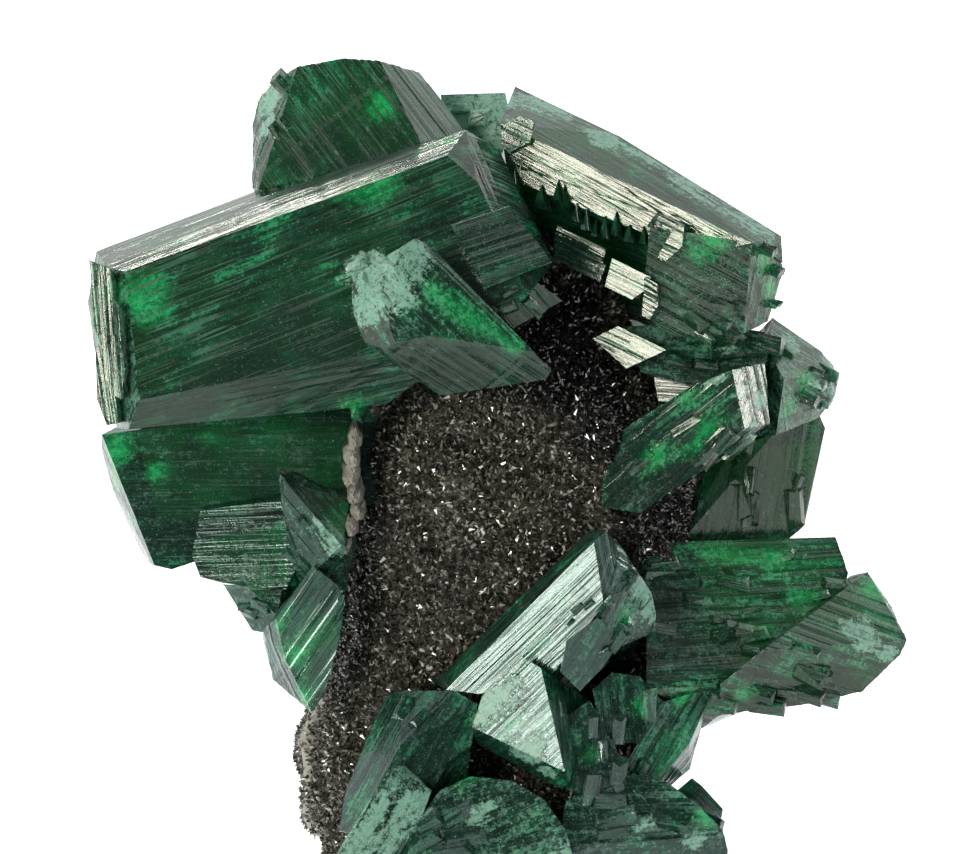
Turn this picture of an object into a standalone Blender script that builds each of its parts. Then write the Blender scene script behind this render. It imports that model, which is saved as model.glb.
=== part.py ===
"""Cuprian adamite: stout green crystals on a lump of dark gossan, a specimen that stands on its base.

Every crystal is a convex block given by its corners, in millimetres as measured on the specimen: X to the
right, Y away from the front, Z up from the base. The origin is under the middle of the specimen.
"""

import math

import bmesh
import bpy
from mathutils import Matrix, Vector, noise

MM = 0.001
NAME = "cuprian_adamite"

# The space left between one node and the next
NODE_GAP = 0.32

CRYSTALS = {
    "upper_left_crystals": (
        # The longest crystal, across the top left
        ((-12.72, -0.5, 22.97), (-12.26, -2.72, 22.72), (-11.66, -3.34, 22.67), (-1.02, -1.72, 26.96),
         (-1.61, -2.93, 26.27), (-0.64, -3.38, 25.47), (-11.14, -5.03, 18.84), (-0.33, -5.3, 21.03),
         (-11.55, -4.33, 17.8), (-3.52, -3.88, 18.52), (-13, -0.9, 21.4), (-12.53, -1.7, 18.45),
         (-11.98, -2.7, 17.6), (0.05, -0.01, 26.13), (1.78, -1.16, 22.7), (0.91, -4.99, 22.08),
         (-0.9, 2.3, 25.26), (1.33, 0.7, 22.23), (-11.78, 1.9, 21.12), (-11.09, 0.3, 17.47),
         (-0.9, -0.7, 19.84), (-7.75, 0.4, 24.78), (-3.5, -5, 20.34)),
        # The cleaved crystal in front of it
        ((-4.59, -5.7, 22.76), (-4.53, -5.9, 21.7), (-4.16, -6.1, 20.79), (-3.47, -6.71, 20.59),
         (-3.13, -6.4, 23.71), (-2.58, -6, 24.01), (-2.21, -5.8, 23.83), (-1.91, -5.5, 23.55),
         (1.65, -5.24, 19.8), (1.47, -5.04, 19.46), (-1.82, -5.32, 19), (-2.74, -5.95, 19.68),
         (-2.06, -6.77, 21.06), (-3.19, -6.9, 20.89), (1.12, -5.76, 20.43), (-3.81, -6.6, 22.46),
         (-3.85, -3.7, 22.12), (-2.14, -3.7, 23.18), (1.3, -3.3, 19.67), (-1.83, -3.7, 19.16),
         (-3.07, -3.9, 20.26)),
        # A slab on its right end
        ((-1.51, -5.64, 24.37), (0.35, -4.76, 24.89), (1.69, -4.34, 23.07), (-0.43, -5.36, 22.32),
         (-0.89, -2.7, 23.73), (0.2, -2.3, 24.31), (1.55, -2.1, 22.71), (-0.27, -2.9, 22.02)),
        # A small dark crystal under the slab
        ((-0.52, -4.09, 22.1), (0.98, -3.51, 22.53), (2.02, -3.09, 21.7), (0.45, -3.7, 20.89),
         (-0.27, -2.1, 21.61), (0.99, -1.9, 22.15), (1.81, -1.7, 21.56), (0.52, -2.1, 20.91)),
        # The striated wedge on top
        ((-6.39, 1.09, 28.7), (-4.86, 0.75, 29.01), (-3.74, 0.34, 28.95), (-2.34, -1.5, 26.37),
         (-7.59, -0.52, 24.91), (-2.99, 1.18, 28.66), (-2.49, 2.2, 28.44), (-2.11, 1.66, 28.01),
         (-1.03, 1.28, 26.64), (-7.14, 1.9, 28.18), (-7.67, 2.2, 27.58), (-7.86, 2.1, 26.88),
         (-7.74, 1.3, 26.22), (-7.84, 0.4, 24.88), (-6.37, 3.9, 28), (-2.83, 3.9, 27.84),
         (-1.55, 3.7, 25.76), (-7.6, 3.7, 24.79), (-6.61, 0.3, 22.53), (-2.48, -0.3, 24.1),
         (-6.38, 3.5, 22.55), (-2.51, 3.5, 23.84)),
    ),
    "upper_right_crystals": (
        # The large crystal at the upper right
        ((0.54, 3.79, 27.82), (8.94, -1.02, 23.51), (0.05, 0.89, 26.93), (7.95, -2.14, 23.41),
         (0.28, 0.49, 25.19), (1.95, -0.11, 24.68), (4.78, -1.15, 23.65), (6.34, -1.74, 22.96),
         (8.99, -0.9, 22.67), (0.88, 5.1, 26.86), (8.8, 2.9, 22.45), (8.32, 1.9, 21.44),
         (4.55, 2.3, 21.39), (0.7, 3.1, 23.76), (3.88, 1.7, 26.41), (6.41, 0.8, 24.93),
         (1.98, 1.9, 23.05), (3.34, 2.5, 20.79), (5.03, 2.3, 20.1)),
        # The block under its right end
        ((4.76, -1.92, 23.93), (6.33, -1.97, 23.49), (7.96, -2.01, 23.4), (8.99, -0.8, 22.59),
         (8.96, -0.8, 22.18), (8.51, -1.3, 20.81), (7.72, -2.12, 20.53), (5.33, -2.07, 20.4),
         (4.76, -2.03, 21.03), (4.57, -1.98, 22.35), (5.18, 2.1, 23.03), (8.71, 2.3, 22.3),
         (8.31, 1.7, 20.76), (5.18, 1.7, 20.18)),
        # A pale crystal end behind it
        ((-1.87, 3.7, 27.57), (-0.64, 3.2, 27.65), (0.25, 2.9, 27.71), (0.44, 2.1, 26.63),
         (0.06, 2.1, 25.6), (-1.67, 3.1, 25.82), (-1.71, 5.5, 27.21), (0.26, 5.3, 27.23),
         (0.23, 4.9, 24.99), (-1.55, 5.3, 25.11)),
        # Steps on its underside
        ((1.85, -0.57, 23.84), (3.39, -1.16, 23.14), (3.3, -1.23, 22.64), (1.73, -0.64, 23.28),
         (2.03, 1.3, 23.57), (3.43, 0.7, 22.87), (3.23, 0.5, 22.31), (1.97, 1.1, 22.95)),
        ((1.75, -0.93, 23.31), (3.39, -1.55, 22.65), (3.2, -1.59, 22.12), (1.72, -1.03, 22.78),
         (1.97, 0.9, 23.04), (3.42, 0.3, 22.4), (3.23, 0.1, 21.85), (1.96, 0.7, 22.48)),
        ((3.57, -1.86, 22.91), (4.78, -2.33, 22.36), (4.6, -2.35, 21.95), (4.19, -2.29, 21.63),
         (3.32, -1.96, 22), (3.73, -0.1, 22.64), (4.8, -0.5, 22.11), (4.48, -0.5, 21.41),
         (3.48, -0.1, 21.75)),
        ((4.56, -2.56, 22.42), (4.99, -2.73, 22.19), (5.02, -2.87, 21.54), (4.74, -2.87, 21.07),
         (4.46, -2.77, 21.18), (4.63, -1.1, 22.12), (5.23, -1.1, 21.8), (5.17, -1.1, 20.79),
         (4.63, -1.1, 20.91)),
        ((2.95, -1.87, 20.37), (3.76, -2.04, 20.78), (5.29, -2.62, 20.09), (4.01, -2.37, 19.46),
         (3.11, 0.1, 20.06), (3.93, 0.1, 20.51), (5.38, -0.3, 19.79), (4.11, -0.5, 19.18)),
        # The frosted crystal below the large one
        ((3.83, -1.47, 20.7), (6.36, -1.22, 20.8), (8.45, -1.22, 20.51), (8.5, -1.73, 19.59),
         (7.39, -1.96, 19.34), (6.02, -2.31, 18.91), (4.45, -2.19, 19.34), (4.54, 1.9, 20.15),
         (8.21, 1.5, 20.04), (8.05, 1.3, 18.94), (4.85, 1.3, 18.62)),
    ),
    "right_crystals": (
        # The rough prism at the right
        ((7.29, -3.81, 19.65), (8.38, -2.36, 19.68), (8.52, -3.7, 17.9), (7.66, -4.82, 17.9),
         (4.42, -4.07, 15.11), (3.19, -3.3, 15.18), (3.32, -2.44, 17.21), (5.99, -3.28, 19.04),
         (8.16, 0.1, 19.03), (8.38, -0.1, 17.52), (4.21, 0.5, 14.86), (3.89, 0.9, 16.74)),
        # The teal crystal at the far right
        ((8.72, 0.67, 20.73), (10.3, 0.46, 19.66), (10.83, 0.1, 18.71), (10.73, -0.1, 18.29),
         (10.22, -0.3, 17.61), (8.76, -1.7, 17.23), (8.52, -1.19, 19.91), (8.98, -2.2, 19.12),
         (10.38, -0.63, 19.07), (10.7, 0.7, 19.18), (9.08, 3.1, 20.16), (10.2, 2.9, 19.18),
         (10.23, 2.5, 17.65), (8.73, 1.9, 16.92), (6.47, 1.7, 18.24), (6.16, 1.9, 16.59)),
        # The dark crystal between them and the lower right
        ((10.29, 1.18, 17.54), (10.49, 1.3, 17.07), (9.84, 0.81, 15.52), (9.78, 0.61, 13.97),
         (9.26, 0.4, 13.55), (5.65, -0.74, 13.5), (5.48, 0.3, 14.89), (7.38, 0.14, 16.46),
         (8.88, 0.3, 17.14), (10.29, 2.1, 15.59), (9.9, 1.9, 13.87), (10.3, 4.5, 16.22),
         (9.82, 4.3, 13.63), (6.56, 3.9, 13.69), (6.55, 3.9, 16.31)),
    ),
    "lower_right_crystals": (
        # The blunt crystal at the lower right
        ((9.59, -0.7, 13.66), (10.76, -0.23, 13.81), (11.15, -0.86, 12.72), (10.76, -1.74, 11.61),
         (9.91, -2.29, 11.19), (8.3, -3.22, 10.58), (6.85, -4.25, 9.74), (6.87, -3.9, 8.6),
         (6.42, -3.1, 8.1), (4.61, -5, 9.69), (4.62, -2.46, 13.39), (5.17, -1.92, 13.92),
         (7.66, -1.33, 13.63), (6.5, 1.9, 12.69), (10.42, 3.1, 12.67), (10.65, 0.7, 8.99),
         (7.73, -0.3, 8.52), (4.85, -0.1, 10.1)),
        # The wedge on its right
        ((11.21, -0.3, 12.56), (11.77, -0.46, 12.72), (12.54, -0.6, 11.61), (12.99, -1.71, 10.7),
         (12.77, -1.65, 10.18), (11.53, -1.97, 9.05), (9.52, -3.01, 8.82), (8.39, -3.64, 8.84),
         (7.75, -3.7, 8.94), (6.85, -4.46, 8.76), (6.93, -4.77, 9.84), (8.25, -4.37, 10.85),
         (10.55, -2.19, 11.69), (11.73, 2.1, 12.17), (12.61, 1.5, 9.99), (11.27, 0.3, 8.74),
         (8.34, -0.9, 8.63)),
    ),
    "centre_crystals": (
        # The bright striated crystal
        ((-2.09, -3.96, 9.76), (-1.67, -5.35, 9.75), (-0.64, -5.67, 9.68), (2.85, -4.78, 14.74),
         (3.34, -5.33, 14.77), (3.68, -5.34, 13.86), (3.26, -6.27, 12.62), (1.9, -6.22, 10.79),
         (1.44, -6.22, 10.06), (-1.53, -2.3, 9.52), (3.28, -1.9, 14.07), (4.35, -2.1, 13.34),
         (4.46, -2.9, 10.91), (1.93, -3.9, 8.85), (2.96, -5.81, 14.53)),
        # Its lower plate
        ((-0.52, -6.53, 9.77), (-0.83, -6.62, 8.81), (-0.74, -6.1, 8.21), (1.96, -6.9, 6.88),
         (2.2, -7.5, 7.25), (2.05, -7.71, 7.6), (1.31, -6.9, 10.72), (0.66, -6.63, 11.08),
         (-0.27, -4.7, 9.32), (-0.52, -4.9, 8.02), (1.92, -5.5, 6.86), (2.86, -4.7, 9.32)),
        # The frosted side of the bright crystal
        ((3.16, -4.9, 14.42), (3.67, -4.3, 14.38), (4.8, -4.52, 12.71), (4.96, -4.4, 11.96),
         (4.89, -4.47, 11.43), (3.28, -5.86, 10.95), (3.15, -5.93, 12.57), (3.71, -5.42, 13.71),
         (3.83, -2.5, 13.88), (4.78, -2.5, 12.12), (4.71, -2.9, 11.04), (3.19, -3.7, 10.73)),
        # A small block in front of it
        ((2.08, -7.05, 11.63), (3.07, -6.54, 12.26), (3.83, -6.07, 11.46), (3.24, -6.35, 10.62),
         (2.52, -6.7, 9.93), (1.89, -7.09, 10.63), (2.23, -4.9, 11.1), (3.17, -4.5, 11.76),
         (3.74, -4.3, 11.09), (3.18, -4.5, 10.3), (2.55, -4.7, 9.7)),
    ),
    "lower_left_crystals": (
        # The finely striated block at the left
        ((-12.56, -1.33, 17.25), (-11.83, -0.1, 17.46), (-3.27, -0.86, 18.33), (-3.27, -1.4, 17.06),
         (-3.58, -2.18, 15.26), (-9.64, -2.92, 13.56), (-10.27, -3.09, 13.18), (-10.83, -3.03, 13.29),
         (-11.78, -1.9, 15.92), (-12.61, -0.5, 16.62), (-12.28, -0.3, 15.3), (-11.68, -0.5, 13.98),
         (-11.15, -1.1, 13.08), (-11.51, 2.3, 16.54), (-10.82, 0.9, 13.5), (-3.47, 1.9, 16.92),
         (-3.62, 0.7, 15.15)),
        # Its lower step
        ((-9.64, -3.06, 13.62), (-9.38, -3.34, 12.99), (-8.68, -3.52, 12.83), (-6.69, -3.94, 12.62),
         (-6.22, -3.66, 13.59), (-6.8, -2.89, 15.37), (-9.4, -2.58, 15.01), (-9.47, -1.1, 13.18),
         (-8.77, -1.1, 12.6), (-6.6, -1.7, 12.31), (-6.6, -1.1, 15.74), (-9.15, -0.7, 15.36)),
        # The grey wedge beside the rock
        ((-6.92, -4.1, 16.57), (-6.22, -3.3, 16.32), (-4.66, -3.1, 15.47), (-4.43, -3.7, 14.07),
         (-4.71, -4.1, 13.59), (-5.64, -4.67, 13.46), (-6.32, -4.57, 14.11), (-6.79, -4.6, 15.47),
         (-6.62, -4.72, 16.22), (-4.88, -4.93, 14.26), (-6.26, -1.9, 15.86), (-4.69, -1.9, 14.74),
         (-4.8, -3.1, 12.48), (-6.36, -3.3, 12.64)),
        # The bright prism below it
        ((-5.79, -4.86, 13.59), (-5.04, -4.91, 13.03), (-4.79, -4.9, 12.52), (-7.41, -4.1, 11.47),
         (-6.95, -4.95, 11.96), (-5.83, -5.17, 8.96), (-5.39, -5.13, 9.65), (-4.95, -5.03, 11.28),
         (-6.67, -5.04, 10.65), (-7.44, -3.3, 10.98), (-7.25, -3.3, 10.44), (-7.12, -3.5, 9.74),
         (-6.23, -4.1, 9.08), (-5.31, -2.7, 12.79), (-4.99, -2.9, 10.91), (-5.55, -3.5, 9.42),
         (-6.9, -2.3, 10.49)),
        # A thin grey corner left of the prism
        ((-8.71, -2.82, 12.69), (-7.92, -3.6, 12.75), (-6.77, -4.3, 12.74), (-6.93, -4.41, 11.93),
         (-7.42, -3.81, 11.29), (-7.75, -3.5, 11.3), (-8.13, -3.26, 11.99), (-8.31, -1.5, 12.28),
         (-6.9, -2.1, 12.31), (-7.41, -2.1, 11.09), (-6.05, -3.3, 12.73), (-6.24, -3.5, 11.59)),
    ),
    "bottom_crystals": (
        # The prism at the lower left
        ((-3.58, -4.91, 9.48), (-3.01, -5.35, 9.75), (-1.36, -5.7, 9.81), (-0.64, -6, 9.43),
         (-0.83, -6.6, 8.24), (-2.74, -7.7, 7.04), (-3.06, -6.96, 8.31), (-4.53, -8, 5.71),
         (-4.98, -7.46, 5.67), (-4.78, -6.43, 6.79), (-4.13, -5.69, 8.17), (-3.1, -3.3, 9.06),
         (-0.89, -3.7, 8.82), (-1.2, -5.7, 5.37), (-4.64, -5.5, 5.33)),
        # The pale blade in front
        ((-3.3, -7.9, 7.89), (-2.87, -7.6, 7.77), (-2.06, -7.9, 7.07), (-2.31, -8.3, 6.46),
         (-3.17, -8.9, 4.45), (-5.74, -9.3, 4.22), (-4.73, -8.9, 5.52), (-3.07, -6.3, 7.24),
         (-2.29, -6.5, 6.49), (-3.06, -7.1, 3.76), (-5.23, -7.3, 3.8)),
        # The rounded crystal at the bottom
        ((-2.31, -8.1, 6.42), (-1.82, -7.7, 7.04), (-0.89, -7.5, 7.44), (0.41, -7.6, 7.33),
         (1.43, -7.7, 6.72), (2.08, -7.9, 5.82), (2.51, -8.1, 4.28), (2.36, -7.7, 2.62),
         (-2.74, -8.5, 2.79), (-3.04, -8.7, 4.72), (-1.52, -4.7, 6.13), (1.3, -4.7, 5.81),
         (1.95, -3.7, 1.76), (-2.47, -4.3, 1.89)),
        # The rough green crystal at the bottom right
        ((2.06, -6.9, 6.56), (2.9, -6.5, 7.05), (4.4, -6.3, 7.21), (5.27, -6.2, 7), (6.27, -6.1, 6.22),
         (7.03, -5.9, 5.41), (7.2, -5.7, 4.74), (7, -5.5, 3.1), (6, -5.5, 1.99), (2.22, -7.1, 2.33),
         (1.77, -7.5, 4.79), (3.2, -3.7, 5.94), (6.05, -3.3, 5.54), (6.4, -2.7, 1.54), (2.58, -3.7, 1.76)),
        # Its vivid tip
        ((5.51, -4.5, 6.35), (6.08, -4.1, 6.75), (6.4, -4.1, 6.49), (7.08, -4.5, 5.81), (7, -4.9, 5.53),
         (6.3, -5.3, 5.77), (6.05, -3.1, 6.46), (6.84, -3.3, 5.54), (5.73, -3.3, 5.86)),
        # The grey glossy crystal above it
        ((5.11, -4.91, 9.29), (6.72, -4.26, 9.68), (6.5, -4.44, 9.08), (5.99, -4.81, 7.94),
         (4.73, -5.49, 6.54), (3.94, -5.63, 7.46), (4.42, -5.36, 8.04), (5.41, -3.3, 8.9),
         (6.55, -2.9, 9.25), (6.36, -3.1, 7.9), (6.04, -3.5, 6.86), (5.08, -4.1, 6.17), (4.45, -3.9, 7.25)),
        # Small dark columns beside it
        ((2.9, -5.95, 9.86), (3.53, -5.51, 10.35), (4.42, -5.1, 10.15), (5.11, -4.95, 9.36),
         (4.41, -5.61, 8.06), (3.53, -6.01, 8.29), (3.09, -6.07, 8.93), (3.2, -3.5, 9.42),
         (4.77, -3.3, 9.38), (4.45, -3.7, 7.86), (3.31, -4.1, 8.09)),
        ((1.9, -6.5, 9.01), (2.84, -6.1, 9.57), (3.52, -6.3, 8.34), (4.4, -6.3, 6.76),
         (3.15, -6.7, 6.52), (2.09, -6.9, 6.88), (2.25, -4.1, 8.57), (3.19, -4.1, 7.93),
         (4.13, -4.5, 6.41), (2.24, -4.7, 6.45)),
    ),
    "tiny_crystals": (
        # A tiny crystal on the edge of the rock
        ((-4.68, -3.6, 18.58), (-4.33, -3.4, 18.77), (-3.93, -3.2, 18.78), (-3.99, -3.4, 18.36),
         (-4.24, -3.7, 17.9), (-4.61, -3.9, 18.08), (-4.45, -4.2, 18.47), (-4.36, -2.1, 18.44),
         (-4.04, -2.1, 18.37), (-4.36, -2.3, 17.89)),
    ),
}

# The back of the specimen is not seen, and carries turned and moved copies of front crystals:
# group, number in it, turn about Z in degrees, size, and the place of its middle
BACK_CRYSTALS = {
    "back_upper_crystal": ("upper_right_crystals", 0, 200, 0.8, (2.82, 6.7, 17.6)),
    "back_middle_crystal": ("centre_crystals", 0, 168, 1.0, (-1.98, 7.3, 12.8)),
    "back_right_crystal": ("lower_left_crystals", 0, 185, 0.75, (4.02, 6.5, 8.8)),
    "back_low_crystal": ("bottom_crystals", 0, 160, 0.9, (-3.98, 6.7, 6.2)),
}

# Nodes that give way to their neighbours where the two would run into each other
GIVES_WAY_TO = {
    "upper_right_crystals": ("upper_left_crystals", "right_crystals"),
    "lower_right_crystals": ("centre_crystals", "right_crystals"),
    "bottom_crystals": ("centre_crystals", "lower_left_crystals", "lower_right_crystals"),
    "tiny_crystals": ("upper_left_crystals", "lower_left_crystals"),
    "back_upper_crystal": ("upper_left_crystals", "upper_right_crystals", "right_crystals"),
    "back_middle_crystal": ("upper_left_crystals", "back_upper_crystal"),
    "back_right_crystal": ("right_crystals", "lower_right_crystals", "back_middle_crystal"),
    "back_low_crystal": ("bottom_crystals", "back_middle_crystal", "back_right_crystal"),
}

# The rock's outline at each height: height, left, right, front, back
ROCK_OUTLINE = (
    (-0.6, -6.78, 6.42, -5.70, 7.70),
    (3.6, -6.08, 6.02, -5.30, 7.10),
    (6.8, -6.43, 4.62, -4.30, 6.70),
    (10, -5.08, 5.02, -3.50, 6.50),
    (13.5, -4.58, 6.22, -3.20, 6.30),
    (16, -4.68, 6.32, -3.10, 6.10),
    (18, -4.68, 5.62, -2.70, 5.70),
    (20.2, -3.78, 4.42, -1.30, 5.30),
    (22.6, -3.18, 3.82, 0.30, 4.70),
    (24, -2.38, 2.82, 1.30, 4.10),
)
ROCK_LEVELS = 4
ROCK_BLUNTNESS = 0.4
ROCK_SQUARENESS = 0.55
LUMP_SIZE = 1.9
LUMP_HEIGHT = 0.45
GRAIN_SIZE = 0.6
GRAIN_HEIGHT = 0.13

LOOKS = {
    "crystal": {"colour": (0.012, 0.105, 0.058, 1), "roughness": 0.16, "metallic": 0.0},
    "rock": {"colour": (0.035, 0.028, 0.022, 1), "roughness": 0.72, "metallic": 0.0},
}


def looks_of(name, kind):
    """A material of its own for one node."""
    material = bpy.data.materials.new(name + "_surface")
    material.use_nodes = True
    shader = material.node_tree.nodes["Principled BSDF"]
    shader.inputs["Base Color"].default_value = LOOKS[kind]["colour"]
    shader.inputs["Roughness"].default_value = LOOKS[kind]["roughness"]
    shader.inputs["Metallic"].default_value = LOOKS[kind]["metallic"]
    material.diffuse_color = LOOKS[kind]["colour"]
    return material


def corners_of(name):
    """The corners of each crystal in a group, as vectors in millimetres."""
    if name in CRYSTALS:
        return [[Vector(corner) for corner in crystal] for crystal in CRYSTALS[name]]
    group, number, turn, size, middle = BACK_CRYSTALS[name]
    crystal = [Vector(corner) for corner in CRYSTALS[group][number]]
    centre = sum(crystal, Vector()) / len(crystal)
    turning = Matrix.Rotation(math.radians(turn), 3, "Z") * size
    return [[turning @ (corner - centre) + Vector(middle) for corner in crystal]]


def add_crystal(mesh, corners, extra):
    """Adds one crystal to a mesh, with all its faces moved out by extra."""
    block = bmesh.new()
    for corner in corners:
        block.verts.new(corner * MM)
    hull = bmesh.ops.convex_hull(block, input=block.verts)
    unused = [item for item in hull["geom_interior"] if isinstance(item, bmesh.types.BMVert)]
    bmesh.ops.delete(block, geom=unused, context="VERTS")
    bmesh.ops.recalc_face_normals(block, faces=block.faces)
    if extra:
        block.normal_update()
        moved = [vert.co + vert.normal * extra * vert.calc_shell_factor() for vert in block.verts]
        for vert, place in zip(block.verts, moved):
            vert.co = place
    part = bpy.data.meshes.new("block")
    block.to_mesh(part)
    block.free()
    mesh.from_mesh(part)
    bpy.data.meshes.remove(part)


def crystals_object(name, crystals, collection, extra=0.0):
    """One object that holds several crystals, which may run through each other."""
    mesh = bmesh.new()
    for corners in crystals:
        add_crystal(mesh, corners, extra)
    data = bpy.data.meshes.new(name)
    mesh.to_mesh(data)
    mesh.free()
    obj = bpy.data.objects.new(name, data)
    collection.objects.link(obj)
    return obj


def outline_at(height):
    """The rock's left, right, front and back at a height, in a straight line between the rows."""
    rows = ROCK_OUTLINE
    height = min(max(height, rows[0][0]), rows[-1][0])
    for lower, upper in zip(rows, rows[1:]):
        if height <= upper[0]:
            share = (height - lower[0]) / (upper[0] - lower[0])
            return [below + (above - below) * share for below, above in zip(lower[1:], upper[1:])]
    return rows[-1][1:]


def rock_object(collection):
    """The lump of rock: a ball shaped to the outline, lumpy, and cut flat underneath."""
    mesh = bmesh.new()
    bmesh.ops.create_icosphere(mesh, subdivisions=ROCK_LEVELS, radius=1)
    bottom = ROCK_OUTLINE[0][0]
    top = ROCK_OUTLINE[-1][0]
    for vert in mesh.verts:
        ball = vert.co.copy()
        height = bottom + (ball.z + 1) / 2 * (top - bottom)
        left, right, front, back = outline_at(height)
        ring = Vector((ball.x, ball.y))
        blunt = ring.length ** ROCK_BLUNTNESS
        ring = ring.normalized() if ring.length > 0 else ring
        square = [math.copysign(abs(part) ** ROCK_SQUARENESS, part) * blunt / 2 for part in ring]
        place = Vector((
            (left + right) / 2 + square[0] * (right - left),
            (front + back) / 2 + square[1] * (back - front),
            height,
        ))
        outward = Vector((ring.x * blunt, ring.y * blunt, ball.z)).normalized()
        lumps = noise.noise(place / LUMP_SIZE) * LUMP_HEIGHT * 2
        grains = noise.noise(place / GRAIN_SIZE) * GRAIN_HEIGHT * 2
        vert.co = (place + outward * (lumps + grains)) * MM
    geometry = mesh.verts[:] + mesh.edges[:] + mesh.faces[:]
    made = bmesh.ops.bisect_plane(
        mesh, geom=geometry, plane_co=(0, 0, 0), plane_no=(0, 0, -1), clear_outer=True, dist=1e-7
    )
    rim = [item for item in made["geom_cut"] if isinstance(item, bmesh.types.BMEdge)]
    bmesh.ops.contextual_create(mesh, geom=rim)
    bmesh.ops.recalc_face_normals(mesh, faces=mesh.faces)
    data = bpy.data.meshes.new("gossan_matrix")
    mesh.to_mesh(data)
    mesh.free()
    obj = bpy.data.objects.new("gossan_matrix", data)
    collection.objects.link(obj)
    return obj


def boolean(obj, other, operation):
    """Joins or cuts one object with another."""
    modifier = obj.modifiers.new(f"{operation.lower()}_{other.name}"[:60], "BOOLEAN")
    modifier.object = other
    modifier.operation = operation
    modifier.solver = "EXACT"
    modifier.use_self = True


def main():
    for obj in list(bpy.data.objects):
        bpy.data.objects.remove(obj)
    parts = bpy.data.collections.new(NAME)
    cutters = bpy.data.collections.new("cutters")
    for collection in (parts, cutters):
        bpy.context.scene.collection.children.link(collection)

    groups = {name: corners_of(name) for name in (*CRYSTALS, *BACK_CRYSTALS)}
    nodes = {}
    sockets = {}
    for name, crystals in groups.items():
        nodes[name] = crystals_object(name, crystals[:1], parts)
        nodes[name].data.materials.append(looks_of(name, "crystal"))
        if crystals[1:]:
            others = crystals_object(name + "_others", crystals[1:], cutters)
            boolean(nodes[name], others, "UNION")
        sockets[name] = crystals_object(name + "_socket", crystals, cutters, NODE_GAP * MM)

    for name, neighbours in GIVES_WAY_TO.items():
        for neighbour in neighbours:
            boolean(nodes[name], sockets[neighbour], "DIFFERENCE")

    rock = rock_object(parts)
    rock.data.materials.append(looks_of("gossan_matrix", "rock"))
    for socket in sockets.values():
        boolean(rock, socket, "DIFFERENCE")

    for cutter in cutters.objects:
        cutter.hide_render = True
        cutter.display_type = "WIRE"


main()
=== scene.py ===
"""Cuprian adamite on gossan: what shows of the specimen, grown over its solids, with the stage it stands on.

All lengths in the tables are in millimetres as measured on the specimen: X to the right, Y away from the
front, Z up from the base. A spot is a place in the front view, counted in its steps from its top left corner.
"""

import math
import random

import bmesh
import bpy
import numpy
from bpy.props import FloatProperty, FloatVectorProperty, IntProperty, PointerProperty
from mathutils import Matrix, Vector, noise
from mathutils.bvhtree import BVHTree


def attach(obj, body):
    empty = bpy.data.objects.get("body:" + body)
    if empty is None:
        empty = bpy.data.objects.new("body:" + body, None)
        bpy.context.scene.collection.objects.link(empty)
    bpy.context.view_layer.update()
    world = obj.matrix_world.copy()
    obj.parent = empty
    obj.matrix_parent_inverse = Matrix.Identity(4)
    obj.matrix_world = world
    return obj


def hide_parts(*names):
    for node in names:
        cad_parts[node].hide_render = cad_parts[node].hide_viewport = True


bl_info = {
    "name": "Adamite specimen",
    "version": (1, 0, 0),
    "blender": (4, 5, 0),
    "location": "3D View > Sidebar > Adamite",
    "description": "Grows a cuprian adamite specimen over its solids",
    "category": "Mesh",
}

MM = 0.001

# The front view: its middle, its size in steps, the size of one step, and how far it looks down
FRONT_VIEW_MIDDLE = (-0.58, 1.3, 17.1)
FRONT_VIEW_SIZE = (960, 854)
FRONT_VIEW_STEP = 0.032
FRONT_VIEW_TILT = math.radians(8)

# How far in front of the specimen and behind it a line of sight is followed
SIGHT = 20.0

# The way the facets face that gleam together
FLASH_NORMAL = Vector((-0.28, -0.94, 0.18)).normalized()

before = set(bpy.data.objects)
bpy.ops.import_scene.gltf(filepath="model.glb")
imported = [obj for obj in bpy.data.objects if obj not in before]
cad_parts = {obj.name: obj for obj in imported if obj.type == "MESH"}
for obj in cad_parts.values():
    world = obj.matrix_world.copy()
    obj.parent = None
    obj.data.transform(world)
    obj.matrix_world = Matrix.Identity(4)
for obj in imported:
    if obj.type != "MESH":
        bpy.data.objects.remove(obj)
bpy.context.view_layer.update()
BODY = "root"

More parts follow.
